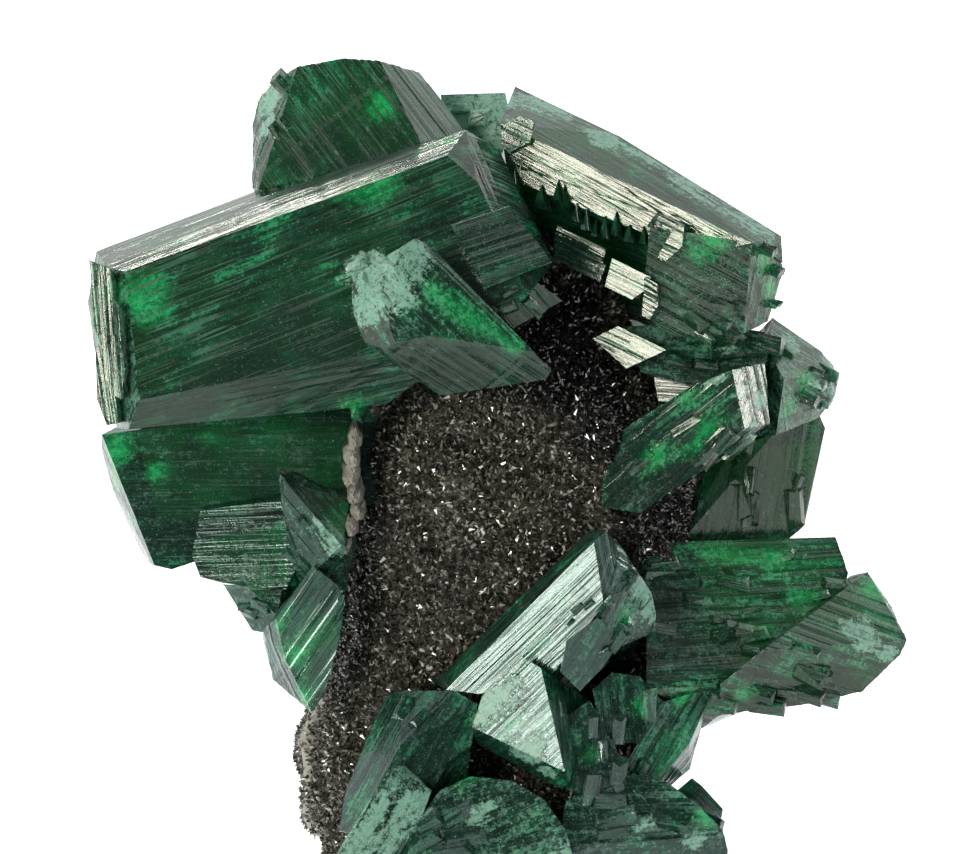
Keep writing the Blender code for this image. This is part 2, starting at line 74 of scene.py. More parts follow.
# The corners of each crystal, by group
CRYSTALS = {
    "upper_left_crystals": (
        # The longest crystal, across the top left
        ((-12.72, -0.5, 22.97), (-12.26, -2.72, 22.72), (-11.66, -3.34, 22.67), (-1.02, -1.72, 26.96),
         (-1.61, -2.93, 26.27), (-0.64, -3.38, 25.47), (-11.14, -5.03, 18.84), (-0.33, -5.3, 21.03),
         (-11.55, -4.33, 17.8), (-3.52, -3.88, 18.52), (-13, -0.9, 21.4), (-12.53, -1.7, 18.45),
         (-11.98, -2.7, 17.6), (0.05, -0.01, 26.13), (1.78, -1.16, 22.7), (0.91, -4.99, 22.08),
         (-0.9, 2.3, 25.26), (1.33, 0.7, 22.23), (-11.78, 1.9, 21.12), (-11.09, 0.3, 17.47),
         (-0.9, -0.7, 19.84), (-7.75, 0.4, 24.78), (-3.5, -5, 20.34)),
        # The cleaved crystal in front of it
        ((-4.59, -5.7, 22.76), (-4.53, -5.9, 21.7), (-4.16, -6.1, 20.79), (-3.47, -6.71, 20.59),
         (-3.13, -6.4, 23.71), (-2.58, -6, 24.01), (-2.21, -5.8, 23.83), (-1.91, -5.5, 23.55),
         (1.65, -5.24, 19.8), (1.47, -5.04, 19.46), (-1.82, -5.32, 19), (-2.74, -5.95, 19.68),
         (-2.06, -6.77, 21.06), (-3.19, -6.9, 20.89), (1.12, -5.76, 20.43), (-3.81, -6.6, 22.46),
         (-3.85, -3.7, 22.12), (-2.14, -3.7, 23.18), (1.3, -3.3, 19.67), (-1.83, -3.7, 19.16),
         (-3.07, -3.9, 20.26)),
        # A slab on its right end
        ((-1.51, -5.64, 24.37), (0.35, -4.76, 24.89), (1.69, -4.34, 23.07), (-0.43, -5.36, 22.32),
         (-0.89, -2.7, 23.73), (0.2, -2.3, 24.31), (1.55, -2.1, 22.71), (-0.27, -2.9, 22.02)),
        # A small dark crystal under the slab
        ((-0.52, -4.09, 22.1), (0.98, -3.51, 22.53), (2.02, -3.09, 21.7), (0.45, -3.7, 20.89),
         (-0.27, -2.1, 21.61), (0.99, -1.9, 22.15), (1.81, -1.7, 21.56), (0.52, -2.1, 20.91)),
        # The striated wedge on top
        ((-6.39, 1.09, 28.7), (-4.86, 0.75, 29.01), (-3.74, 0.34, 28.95), (-2.34, -1.5, 26.37),
         (-7.59, -0.52, 24.91), (-2.99, 1.18, 28.66), (-2.49, 2.2, 28.44), (-2.11, 1.66, 28.01),
         (-1.03, 1.28, 26.64), (-7.14, 1.9, 28.18), (-7.67, 2.2, 27.58), (-7.86, 2.1, 26.88),
         (-7.74, 1.3, 26.22), (-7.84, 0.4, 24.88), (-6.37, 3.9, 28), (-2.83, 3.9, 27.84),
         (-1.55, 3.7, 25.76), (-7.6, 3.7, 24.79), (-6.61, 0.3, 22.53), (-2.48, -0.3, 24.1),
         (-6.38, 3.5, 22.55), (-2.51, 3.5, 23.84)),
    ),
    "upper_right_crystals": (
        # The large crystal at the upper right
        ((0.54, 3.79, 27.82), (8.94, -1.02, 23.51), (0.05, 0.89, 26.93), (7.95, -2.14, 23.41),
         (0.28, 0.49, 25.19), (1.95, -0.11, 24.68), (4.78, -1.15, 23.65), (6.34, -1.74, 22.96),
         (8.99, -0.9, 22.67), (0.88, 5.1, 26.86), (8.8, 2.9, 22.45), (8.32, 1.9, 21.44),
         (4.55, 2.3, 21.39), (0.7, 3.1, 23.76), (3.88, 1.7, 26.41), (6.41, 0.8, 24.93),
         (1.98, 1.9, 23.05), (3.34, 2.5, 20.79), (5.03, 2.3, 20.1)),
        # The block under its right end
        ((4.76, -1.92, 23.93), (6.33, -1.97, 23.49), (7.96, -2.01, 23.4), (8.99, -0.8, 22.59),
         (8.96, -0.8, 22.18), (8.51, -1.3, 20.81), (7.72, -2.12, 20.53), (5.33, -2.07, 20.4),
         (4.76, -2.03, 21.03), (4.57, -1.98, 22.35), (5.18, 2.1, 23.03), (8.71, 2.3, 22.3),
         (8.31, 1.7, 20.76), (5.18, 1.7, 20.18)),
        # A pale crystal end behind it
        ((-1.87, 3.7, 27.57), (-0.64, 3.2, 27.65), (0.25, 2.9, 27.71), (0.44, 2.1, 26.63),
         (0.06, 2.1, 25.6), (-1.67, 3.1, 25.82), (-1.71, 5.5, 27.21), (0.26, 5.3, 27.23),
         (0.23, 4.9, 24.99), (-1.55, 5.3, 25.11)),
        # Steps on its underside
        ((1.85, -0.57, 23.84), (3.39, -1.16, 23.14), (3.3, -1.23, 22.64), (1.73, -0.64, 23.28),
         (2.03, 1.3, 23.57), (3.43, 0.7, 22.87), (3.23, 0.5, 22.31), (1.97, 1.1, 22.95)),
        ((1.75, -0.93, 23.31), (3.39, -1.55, 22.65), (3.2, -1.59, 22.12), (1.72, -1.03, 22.78),
         (1.97, 0.9, 23.04), (3.42, 0.3, 22.4), (3.23, 0.1, 21.85), (1.96, 0.7, 22.48)),
        ((3.57, -1.86, 22.91), (4.78, -2.33, 22.36), (4.6, -2.35, 21.95), (4.19, -2.29, 21.63),
         (3.32, -1.96, 22), (3.73, -0.1, 22.64), (4.8, -0.5, 22.11), (4.48, -0.5, 21.41),
         (3.48, -0.1, 21.75)),
        ((4.56, -2.56, 22.42), (4.99, -2.73, 22.19), (5.02, -2.87, 21.54), (4.74, -2.87, 21.07),
         (4.46, -2.77, 21.18), (4.63, -1.1, 22.12), (5.23, -1.1, 21.8), (5.17, -1.1, 20.79),
         (4.63, -1.1, 20.91)),
        ((2.95, -1.87, 20.37), (3.76, -2.04, 20.78), (5.29, -2.62, 20.09), (4.01, -2.37, 19.46),
         (3.11, 0.1, 20.06), (3.93, 0.1, 20.51), (5.38, -0.3, 19.79), (4.11, -0.5, 19.18)),
        # The frosted crystal below the large one
        ((3.83, -1.47, 20.7), (6.36, -1.22, 20.8), (8.45, -1.22, 20.51), (8.5, -1.73, 19.59),
         (7.39, -1.96, 19.34), (6.02, -2.31, 18.91), (4.45, -2.19, 19.34), (4.54, 1.9, 20.15),
         (8.21, 1.5, 20.04), (8.05, 1.3, 18.94), (4.85, 1.3, 18.62)),
    ),
    "right_crystals": (
        # The rough prism at the right
        ((7.29, -3.81, 19.65), (8.38, -2.36, 19.68), (8.52, -3.7, 17.9), (7.66, -4.82, 17.9),
         (4.42, -4.07, 15.11), (3.19, -3.3, 15.18), (3.32, -2.44, 17.21), (5.99, -3.28, 19.04),
         (8.16, 0.1, 19.03), (8.38, -0.1, 17.52), (4.21, 0.5, 14.86), (3.89, 0.9, 16.74)),
        # The teal crystal at the far right
        ((8.72, 0.67, 20.73), (10.3, 0.46, 19.66), (10.83, 0.1, 18.71), (10.73, -0.1, 18.29),
         (10.22, -0.3, 17.61), (8.76, -1.7, 17.23), (8.52, -1.19, 19.91), (8.98, -2.2, 19.12),
         (10.38, -0.63, 19.07), (10.7, 0.7, 19.18), (9.08, 3.1, 20.16), (10.2, 2.9, 19.18),
         (10.23, 2.5, 17.65), (8.73, 1.9, 16.92), (6.47, 1.7, 18.24), (6.16, 1.9, 16.59)),
        # The dark crystal between them and the lower right
        ((10.29, 1.18, 17.54), (10.49, 1.3, 17.07), (9.84, 0.81, 15.52), (9.78, 0.61, 13.97),
         (9.26, 0.4, 13.55), (5.65, -0.74, 13.5), (5.48, 0.3, 14.89), (7.38, 0.14, 16.46),
         (8.88, 0.3, 17.14), (10.29, 2.1, 15.59), (9.9, 1.9, 13.87), (10.3, 4.5, 16.22),
         (9.82, 4.3, 13.63), (6.56, 3.9, 13.69), (6.55, 3.9, 16.31)),
    ),
    "lower_right_crystals": (
        # The blunt crystal at the lower right
        ((9.59, -0.7, 13.66), (10.76, -0.23, 13.81), (11.15, -0.86, 12.72), (10.76, -1.74, 11.61),
         (9.91, -2.29, 11.19), (8.3, -3.22, 10.58), (6.85, -4.25, 9.74), (6.87, -3.9, 8.6),
         (6.42, -3.1, 8.1), (4.61, -5, 9.69), (4.62, -2.46, 13.39), (5.17, -1.92, 13.92),
         (7.66, -1.33, 13.63), (6.5, 1.9, 12.69), (10.42, 3.1, 12.67), (10.65, 0.7, 8.99),
         (7.73, -0.3, 8.52), (4.85, -0.1, 10.1)),
        # The wedge on its right
        ((11.21, -0.3, 12.56), (11.77, -0.46, 12.72), (12.54, -0.6, 11.61), (12.99, -1.71, 10.7),
         (12.77, -1.65, 10.18), (11.53, -1.97, 9.05), (9.52, -3.01, 8.82), (8.39, -3.64, 8.84),
         (7.75, -3.7, 8.94), (6.85, -4.46, 8.76), (6.93, -4.77, 9.84), (8.25, -4.37, 10.85),
         (10.55, -2.19, 11.69), (11.73, 2.1, 12.17), (12.61, 1.5, 9.99), (11.27, 0.3, 8.74),
         (8.34, -0.9, 8.63)),
    ),
    "centre_crystals": (
        # The bright striated crystal
        ((-2.09, -3.96, 9.76), (-1.67, -5.35, 9.75), (-0.64, -5.67, 9.68), (2.85, -4.78, 14.74),
         (3.34, -5.33, 14.77), (3.68, -5.34, 13.86), (3.26, -6.27, 12.62), (1.9, -6.22, 10.79),
         (1.44, -6.22, 10.06), (-1.53, -2.3, 9.52), (3.28, -1.9, 14.07), (4.35, -2.1, 13.34),
         (4.46, -2.9, 10.91), (1.93, -3.9, 8.85), (2.96, -5.81, 14.53)),
        # Its lower plate
        ((-0.52, -6.53, 9.77), (-0.83, -6.62, 8.81), (-0.74, -6.1, 8.21), (1.96, -6.9, 6.88),
         (2.2, -7.5, 7.25), (2.05, -7.71, 7.6), (1.31, -6.9, 10.72), (0.66, -6.63, 11.08),
         (-0.27, -4.7, 9.32), (-0.52, -4.9, 8.02), (1.92, -5.5, 6.86), (2.86, -4.7, 9.32)),
        # The frosted side of the bright crystal
        ((3.16, -4.9, 14.42), (3.67, -4.3, 14.38), (4.8, -4.52, 12.71), (4.96, -4.4, 11.96),
         (4.89, -4.47, 11.43), (3.28, -5.86, 10.95), (3.15, -5.93, 12.57), (3.71, -5.42, 13.71),
         (3.83, -2.5, 13.88), (4.78, -2.5, 12.12), (4.71, -2.9, 11.04), (3.19, -3.7, 10.73)),
        # A small block in front of it
        ((2.08, -7.05, 11.63), (3.07, -6.54, 12.26), (3.83, -6.07, 11.46), (3.24, -6.35, 10.62),
         (2.52, -6.7, 9.93), (1.89, -7.09, 10.63), (2.23, -4.9, 11.1), (3.17, -4.5, 11.76),
         (3.74, -4.3, 11.09), (3.18, -4.5, 10.3), (2.55, -4.7, 9.7)),
    ),
    "lower_left_crystals": (
        # The finely striated block at the left
        ((-12.56, -1.33, 17.25), (-11.83, -0.1, 17.46), (-3.27, -0.86, 18.33), (-3.27, -1.4, 17.06),
         (-3.58, -2.18, 15.26), (-9.64, -2.92, 13.56), (-10.27, -3.09, 13.18), (-10.83, -3.03, 13.29),
         (-11.78, -1.9, 15.92), (-12.61, -0.5, 16.62), (-12.28, -0.3, 15.3), (-11.68, -0.5, 13.98),
         (-11.15, -1.1, 13.08), (-11.51, 2.3, 16.54), (-10.82, 0.9, 13.5), (-3.47, 1.9, 16.92),
         (-3.62, 0.7, 15.15)),
        # Its lower step
        ((-9.64, -3.06, 13.62), (-9.38, -3.34, 12.99), (-8.68, -3.52, 12.83), (-6.69, -3.94, 12.62),
         (-6.22, -3.66, 13.59), (-6.8, -2.89, 15.37), (-9.4, -2.58, 15.01), (-9.47, -1.1, 13.18),
         (-8.77, -1.1, 12.6), (-6.6, -1.7, 12.31), (-6.6, -1.1, 15.74), (-9.15, -0.7, 15.36)),
        # The grey wedge beside the rock
        ((-6.92, -4.1, 16.57), (-6.22, -3.3, 16.32), (-4.66, -3.1, 15.47), (-4.43, -3.7, 14.07),
         (-4.71, -4.1, 13.59), (-5.64, -4.67, 13.46), (-6.32, -4.57, 14.11), (-6.79, -4.6, 15.47),
         (-6.62, -4.72, 16.22), (-4.88, -4.93, 14.26), (-6.26, -1.9, 15.86), (-4.69, -1.9, 14.74),
         (-4.8, -3.1, 12.48), (-6.36, -3.3, 12.64)),
        # The bright prism below it
        ((-5.79, -4.86, 13.59), (-5.04, -4.91, 13.03), (-4.79, -4.9, 12.52), (-7.41, -4.1, 11.47),
         (-6.95, -4.95, 11.96), (-5.83, -5.17, 8.96), (-5.39, -5.13, 9.65), (-4.95, -5.03, 11.28),
         (-6.67, -5.04, 10.65), (-7.44, -3.3, 10.98), (-7.25, -3.3, 10.44), (-7.12, -3.5, 9.74),
         (-6.23, -4.1, 9.08), (-5.31, -2.7, 12.79), (-4.99, -2.9, 10.91), (-5.55, -3.5, 9.42),
         (-6.9, -2.3, 10.49)),
        # A thin grey corner left of the prism
        ((-8.71, -2.82, 12.69), (-7.92, -3.6, 12.75), (-6.77, -4.3, 12.74), (-6.93, -4.41, 11.93),
         (-7.42, -3.81, 11.29), (-7.75, -3.5, 11.3), (-8.13, -3.26, 11.99), (-8.31, -1.5, 12.28),
         (-6.9, -2.1, 12.31), (-7.41, -2.1, 11.09), (-6.05, -3.3, 12.73), (-6.24, -3.5, 11.59)),
    ),
    "bottom_crystals": (
        # The prism at the lower left
        ((-3.58, -4.91, 9.48), (-3.01, -5.35, 9.75), (-1.36, -5.7, 9.81), (-0.64, -6, 9.43),
         (-0.83, -6.6, 8.24), (-2.74, -7.7, 7.04), (-3.06, -6.96, 8.31), (-4.53, -8, 5.71),
         (-4.98, -7.46, 5.67), (-4.78, -6.43, 6.79), (-4.13, -5.69, 8.17), (-3.1, -3.3, 9.06),
         (-0.89, -3.7, 8.82), (-1.2, -5.7, 5.37), (-4.64, -5.5, 5.33)),
        # The pale blade in front
        ((-3.3, -7.9, 7.89), (-2.87, -7.6, 7.77), (-2.06, -7.9, 7.07), (-2.31, -8.3, 6.46),
         (-3.17, -8.9, 4.45), (-5.74, -9.3, 4.22), (-4.73, -8.9, 5.52), (-3.07, -6.3, 7.24),
         (-2.29, -6.5, 6.49), (-3.06, -7.1, 3.76), (-5.23, -7.3, 3.8)),
        # The rounded crystal at the bottom
        ((-2.31, -8.1, 6.42), (-1.82, -7.7, 7.04), (-0.89, -7.5, 7.44), (0.41, -7.6, 7.33),
         (1.43, -7.7, 6.72), (2.08, -7.9, 5.82), (2.51, -8.1, 4.28), (2.36, -7.7, 2.62),
         (-2.74, -8.5, 2.79), (-3.04, -8.7, 4.72), (-1.52, -4.7, 6.13), (1.3, -4.7, 5.81),
         (1.95, -3.7, 1.76), (-2.47, -4.3, 1.89)),
        # The rough green crystal at the bottom right
        ((2.06, -6.9, 6.56), (2.9, -6.5, 7.05), (4.4, -6.3, 7.21), (5.27, -6.2, 7), (6.27, -6.1, 6.22),
         (7.03, -5.9, 5.41), (7.2, -5.7, 4.74), (7, -5.5, 3.1), (6, -5.5, 1.99), (2.22, -7.1, 2.33),
         (1.77, -7.5, 4.79), (3.2, -3.7, 5.94), (6.05, -3.3, 5.54), (6.4, -2.7, 1.54), (2.58, -3.7, 1.76)),
        # Its vivid tip
        ((5.51, -4.5, 6.35), (6.08, -4.1, 6.75), (6.4, -4.1, 6.49), (7.08, -4.5, 5.81), (7, -4.9, 5.53),
         (6.3, -5.3, 5.77), (6.05, -3.1, 6.46), (6.84, -3.3, 5.54), (5.73, -3.3, 5.86)),
        # The grey glossy crystal above it
        ((5.11, -4.91, 9.29), (6.72, -4.26, 9.68), (6.5, -4.44, 9.08), (5.99, -4.81, 7.94),
         (4.73, -5.49, 6.54), (3.94, -5.63, 7.46), (4.42, -5.36, 8.04), (5.41, -3.3, 8.9),
         (6.55, -2.9, 9.25), (6.36, -3.1, 7.9), (6.04, -3.5, 6.86), (5.08, -4.1, 6.17), (4.45, -3.9, 7.25)),
        # Small dark columns beside it
        ((2.9, -5.95, 9.86), (3.53, -5.51, 10.35), (4.42, -5.1, 10.15), (5.11, -4.95, 9.36),
         (4.41, -5.61, 8.06), (3.53, -6.01, 8.29), (3.09, -6.07, 8.93), (3.2, -3.5, 9.42),
         (4.77, -3.3, 9.38), (4.45, -3.7, 7.86), (3.31, -4.1, 8.09)),
        ((1.9, -6.5, 9.01), (2.84, -6.1, 9.57), (3.52, -6.3, 8.34), (4.4, -6.3, 6.76),
         (3.15, -6.7, 6.52), (2.09, -6.9, 6.88), (2.25, -4.1, 8.57), (3.19, -4.1, 7.93),
         (4.13, -4.5, 6.41), (2.24, -4.7, 6.45)),
    ),
    "tiny_crystals": (
        # A tiny crystal on the edge of the rock
        ((-4.68, -3.6, 18.58), (-4.33, -3.4, 18.77), (-3.93, -3.2, 18.78), (-3.99, -3.4, 18.36),
         (-4.24, -3.7, 17.9), (-4.61, -3.9, 18.08), (-4.45, -4.2, 18.47), (-4.36, -2.1, 18.44),
         (-4.04, -2.1, 18.37), (-4.36, -2.3, 17.89)),
    ),
}

# The back of the specimen is not seen, and carries turned and moved copies of front crystals:
# group, number in it, turn about Z in degrees, size, and the place of its middle
BACK_CRYSTALS = {
    "back_upper_crystal": ("upper_right_crystals", 0, 200, 0.8, (2.82, 6.7, 17.6)),
    "back_middle_crystal": ("centre_crystals", 0, 168, 1.0, (-1.98, 7.3, 12.8)),
    "back_right_crystal": ("lower_left_crystals", 0, 185, 0.75, (4.02, 6.5, 8.8)),
    "back_low_crystal": ("bottom_crystals", 0, 160, 0.9, (-3.98, 6.7, 6.2)),
}

# The facets at the top gleam cream, those in the middle and below gleam bluish
GLOSS = {"warm": (0.97, 1.0, 0.93), "cool": (0.78, 1.0, 1.0)}
COOL_GROUPS = ("centre_crystals", "lower_left_crystals", "bottom_crystals", "back_middle_crystal")

# How each crystal grew, in the order of its group: the direction of its striations, as two of its corners or
# as a vector, the space between grooves, the depth of a groove, and how frosted it is
GROWTH = {
    "upper_left_crystals": (
        ((1, 3), 0.14, 0.010, 0.10), ((7, 8), 0.12, 0.010, 0.30), ((0, 1), 0.09, 0.012, 0.15),
        ((0, 3), 0.12, 0.010, 0.05), ((7, 8), 0.08, 0.016, 0.08)),
    "upper_right_crystals": (
        ((0, 1), 0.10, 0.007, 0.05), ((8.4, -4.81, -4.31), 0.12, 0.010, 0.28), ((0, 2), 0.2, 0.010, 0.90),
        ((0, 1), 0.08, 0.008, 0.10), ((0, 1), 0.08, 0.008, 0.10), ((0, 1), 0.08, 0.008, 0.10),
        ((0, 1), 0.06, 0.012, 0.20), ((1, 2), 0.07, 0.008, 0.10), ((0, 2), 0.12, 0.012, 0.40)),
    "right_crystals": (
        ((4, 3), 0.12, 0.014, 0.25), ((0, 1), 0.12, 0.012, 0.50), ((0, 3), 0.14, 0.012, 0.20)),
    "lower_right_crystals": (
        ((12, 0), 0.18, 0.014, 0.28), ((12, 3), 0.09, 0.014, 0.22)),
    "centre_crystals": (
        ((0, 3), 0.08, 0.008, 0.06), ((4.94, -0.82, 4.98), 0.10, 0.006, 0.15),
        ((4.94, -0.82, 4.98), 0.12, 0.012, 0.45), ((4.94, -0.82, 4.98), 0.12, 0.010, 0.25)),
    "lower_left_crystals": (
        ((1, -0.05, 0.03), 0.11, 0.008, 0.18), ((1, -0.05, 0.03), 0.14, 0.004, 0.22),
        ((8, 9), 0.07, 0.012, 0.30), ((0, 4), 0.09, 0.014, 0.12), ((0, 1), 0.12, 0.012, 0.40)),
    "bottom_crystals": (
        ((6, 7), 0.10, 0.010, 0.20), ((0, 6), 0.14, 0.008, 0.70), ((0, 3), 0.2, 0.008, 0.45),
        ((1, 3), 0.16, 0.014, 0.35), ((1, 3), 0.12, 0.010, 0.05), ((1, 4), 0.09, 0.012, 0.25),
        ((0, 0, 1), 0.12, 0.012, 0.25), ((0, 0, 1), 0.12, 0.012, 0.25)),
    "tiny_crystals": (((0, 2), 0.08, 0.008, 0.20),),
}

# Every groove is cut this many times as deep as above. Its depth is its own by the first share, and wanders
# by the second from one groove length to the next.
DEEPENING = 2.2
STEADY = 0.85
WANDERING = 0.15
GROOVE_LENGTH = 1.2

# Faces that meet within this angle are one facet
FLAT = math.radians(1.5)

# A face is an end of its crystal, across the grain, where less than this share of the grain lies in it
END_FACE = 0.35

# Faces that are more or less frosted than the rest of their crystal: the way they face, how closely, how much
FROSTED_ENDS = {
    ("upper_left_crystals", 1): (((0.1, -0.8, -0.6), 0.8, 0.12),),
    ("upper_left_crystals", 0): (((-1, -0.3, 0), 0.6, 0.55),),
    ("right_crystals", 0): (((0.7, -0.5, 0.5), 0.9, 0.25),),
}

# A mark fades out this many times its reach away
MARK_SPREAD = 1.5

# Frosted places, each with its reach
FROSTED_PLACES = (
    ((-3.6, -6.5, 22.8), 1.3), ((-4.3, -6.2, 21.9), 0.9), ((-2.7, -6.3, 23.5), 0.8),
    ((-4.1, -4.1, 22.9), 0.7), ((-1.2, 3.2, 27.1), 1.6), ((-0.6, 2.8, 27.1), 1.4), ((-0.1, 2.7, 27.2), 1.0),
    ((-12.6, -1.9, 20.7), 0.7), ((-12.2, -2.9, 19.2), 0.5), ((4.5, -4.7, 13.0), 0.6),
    ((4.9, -4.5, 12.2), 0.6), ((-7.3, 1.6, 27.6), 0.8), ((-7.4, 0.9, 26.8), 0.5), ((9.3, -0.1, 20.0), 0.5),
    ((10.5, -0.3, 18.2), 0.6), ((10.0, -1.0, 18.8), 0.5), ((6.5, -0.4, 14.8), 0.3),
    ((8.2, -3.5, 18.6), 0.4), ((0.1, -6.7, 9.7), 0.9), ((0.9, -7.2, 8.3), 0.8), ((-0.6, -6.6, 9.2), 0.5),
    ((1.5, -7.2, 7.5), 0.4), ((-3.6, -8.5, 6.4), 1.1), ((-4.1, -8.8, 5.5), 1.0), ((-2.5, -8.2, 6.7), 0.6),
    ((-0.6, -8.0, 6.3), 0.5), ((2.0, -8.0, 5.1), 0.6), ((2.0, 2.5, 27.1), 0.7), ((1.2, 2.9, 27.4), 0.7),
    ((3.3, 1.4, 26.4), 0.7), ((4.5, 0.8, 25.8), 0.6), ((5.8, 0.2, 25.1), 0.7), ((7.1, -0.4, 24.4), 0.7),
    ((8.2, -1.1, 23.7), 0.7), ((0.7, 0.9, 26.8), 0.5), ((-4.9, -4.9, 14.3), 0.7), ((-5.4, -4.7, 14.9), 0.6),
    ((-5.7, -4.4, 15.5), 0.4), ((7.1, -4.2, 18.6), 0.45), ((6.8, -3.6, 19.3), 0.4),
    ((7.9, -4.3, 17.8), 0.3), ((11.6, -2.2, 11.0), 0.7), ((12.4, -1.9, 10.3), 0.4),
    ((3.3, -3.8, 10.3), 0.4), ((5.2, -5.1, 8.2), 0.4), ((6.1, -6.2, 5.1), 0.5), ((4.5, -6.6, 5.8), 0.4),
    ((7.1, -1.5, 20.1), 0.5),
)

# Places darkened with painted shade, each with its reach
PAINTED_SHADE_PLACES = (
    ((5.1, -3.4, 8.7), 0.6),
    ((-8.1, -3.3, 13.7), 1.2), ((-8.9, -3.0, 14.1), 0.9), ((-7.5, -3.3, 14.1), 0.9),
    ((-0.9, -5.9, 20.0), 1.4), ((1.0, -5.3, 19.7), 1.0), ((-2.5, -6.4, 20.3), 1.0), ((8.4, 0.1, 15.5), 1.6),
    ((7.9, -0.0, 14.8), 1.3), ((9.3, 0.4, 14.9), 1.3), ((9.3, 0.5, 16.5), 1.0), ((7.4, -0.0, 15.9), 1.0),
    ((-5.4, -4.9, 20.6), 1.4), ((-7.9, -4.9, 20.0), 1.3), ((-6.3, -4.5, 21.4), 1.2),
    ((-0.6, -5.2, 24.4), 0.9), ((0.5, -4.8, 23.7), 0.9), ((-0.6, -2.8, 25.7), 0.8),
    ((-5.4, -0.4, 26.6), 0.9), ((-6.3, -0.4, 26.0), 0.9), ((-4.7, -1.0, 25.9), 0.8),
    ((-9.5, -4.8, 18.8), 0.9), ((-7.3, -4.7, 19.0), 0.9), ((-4.7, -4.8, 19.6), 0.9),
    ((5.5, -3.1, 12.1), 1.0), ((7.1, -3.5, 10.7), 0.9), ((6.1, -3.7, 10.9), 0.9), ((10.0, -2.8, 9.0), 0.8),
    ((9.0, -3.4, 9.3), 0.6), ((-10.2, -2.3, 14.9), 1.2), ((-7.9, -1.9, 15.8), 1.2),
    ((-9.5, -1.7, 16.4), 1.1), ((-6.0, -1.5, 16.8), 1.1), ((-5.1, -1.3, 17.4), 1.2),
    ((-4.4, -1.8, 16.1), 1.0), ((-11.1, -2.7, 14.0), 0.7), ((4.2, -3.5, 16.1), 0.9),
    ((4.1, -3.0, 17.0), 0.8), ((6.1, -2.0, 19.4), 0.5), ((6.5, -2.0, 21.7), 0.8), ((5.8, -2.0, 22.6), 0.6),
    ((7.7, -2.1, 21.7), 0.6), ((2.9, -0.3, 24.0), 0.3), ((1.8, 0.1, 24.4), 0.3),
    ((0.7, 0.7, 24.7), 0.4), ((-2.8, -6.5, 8.7), 0.7), ((-1.9, -7.1, 7.8), 0.7), ((3.3, -6.3, 8.7), 0.8),
    ((2.9, -6.6, 7.4), 0.6), ((3.6, -6.6, 6.8), 0.8), ((3.3, -7.0, 5.6), 0.9), ((5.2, -6.4, 6.1), 0.5),
    ((-1.5, -8.4, 5.4), 0.6), ((0.7, -8.2, 5.1), 0.5), ((3.3, -6.4, 11.3), 0.4), ((2.9, -6.2, 12.2), 0.3),
    ((-4.7, -3.7, 13.2), 0.5), ((-5.4, -4.9, 12.4), 0.4), ((-8.3, -3.2, 12.1), 0.4),
    ((-6.7, -4.6, 10.1), 0.5), ((-5.7, -5.0, 11.7), 0.4), ((-5.1, -1.0, 25.7), 0.5),
    ((-4.1, -1.2, 25.9), 0.5), ((-3.1, -1.6, 26.2), 0.5), ((-2.3, -1.7, 26.5), 0.4),
    ((5.6, -1.0, 18.7), 0.9), ((6.1, -1.0, 18.7), 0.7), ((-6.7, -2.6, 12.7), 0.8),
)

# Where a painted glow stands for the inside lighting up emerald, each with its reach
PAINTED_GLOWS = (
    ((-11.1, -3.7, 22.0), 0.9), ((-11.8, -3.4, 21.9), 0.6), ((-10.8, -4.0, 21.3), 0.6),
    ((-3.6, -3.1, 25.3), 0.7), ((-4.7, -3.1, 25.0), 0.5), ((-6.3, -3.1, 24.6), 0.4),
    ((-3.7, -0.4, 27.6), 0.6), ((6.7, -2.0, 23.4), 0.6), ((6.1, -2.0, 22.9), 0.4),
    ((8.4, -1.5, 22.8), 0.5), ((8.6, -1.2, 21.9), 0.4), ((5.2, -0.4, 25.0), 0.4), ((6.6, -4.2, 17.9), 0.5),
    ((6.1, -4.2, 17.3), 0.4), ((4.9, -3.6, 16.9), 0.5), ((5.8, -3.4, 18.6), 0.4), ((9.7, -1.8, 12.1), 0.6),
    ((6.5, -1.8, 13.5), 0.5), ((8.7, -1.3, 13.2), 0.6), ((8.4, -2.7, 11.3), 0.4), ((5.8, -2.6, 12.7), 0.4),
    ((10.6, -0.8, 13.1), 0.4), ((7.7, -4.2, 9.4), 0.4), ((-6.3, -5.0, 10.9), 0.6), ((-6.0, -5.1, 9.5), 0.5),
    ((-6.8, -5.0, 11.7), 0.4), ((6.5, -6.1, 5.9), 0.6), ((-0.6, -6.2, 21.3), 0.6),
    ((-1.1, -6.0, 22.2), 0.5), ((-1.5, -6.5, 21.3), 0.5), ((0.4, -5.9, 20.8), 0.5),
    ((-2.2, -6.4, 22.6), 0.4), ((-12.1, -1.5, 16.8), 0.7), ((-10.8, -1.8, 16.1), 0.4),
    ((-9.2, -1.4, 17.1), 0.4), ((-12.1, -1.3, 15.8), 0.6), ((-0.9, -7.6, 7.3), 0.5),
    ((2.9, -6.5, 7.9), 0.4), ((-2.5, -2.3, 26.2), 0.4), ((-1.5, -2.0, 26.7), 0.3), ((9.7, -1.4, 19.0), 0.5),
    ((9.2, -1.6, 18.1), 0.5), ((10.1, 1.1, 17.0), 0.4), ((2.0, -5.9, 12.5), 0.4), ((3.9, -5.3, 12.1), 0.4),
    ((5.8, -4.6, 9.4), 0.4), ((7.7, -3.8, 17.4), 0.4), ((9.7, 0.7, 16.8), 0.4), ((-2.5, -8.2, 6.7), 0.3),
    ((11.9, -0.9, 12.1), 0.5), ((-4.5, -4.0, 18.5), 0.5), ((4.5, -5.3, 9.2), 0.4),
)

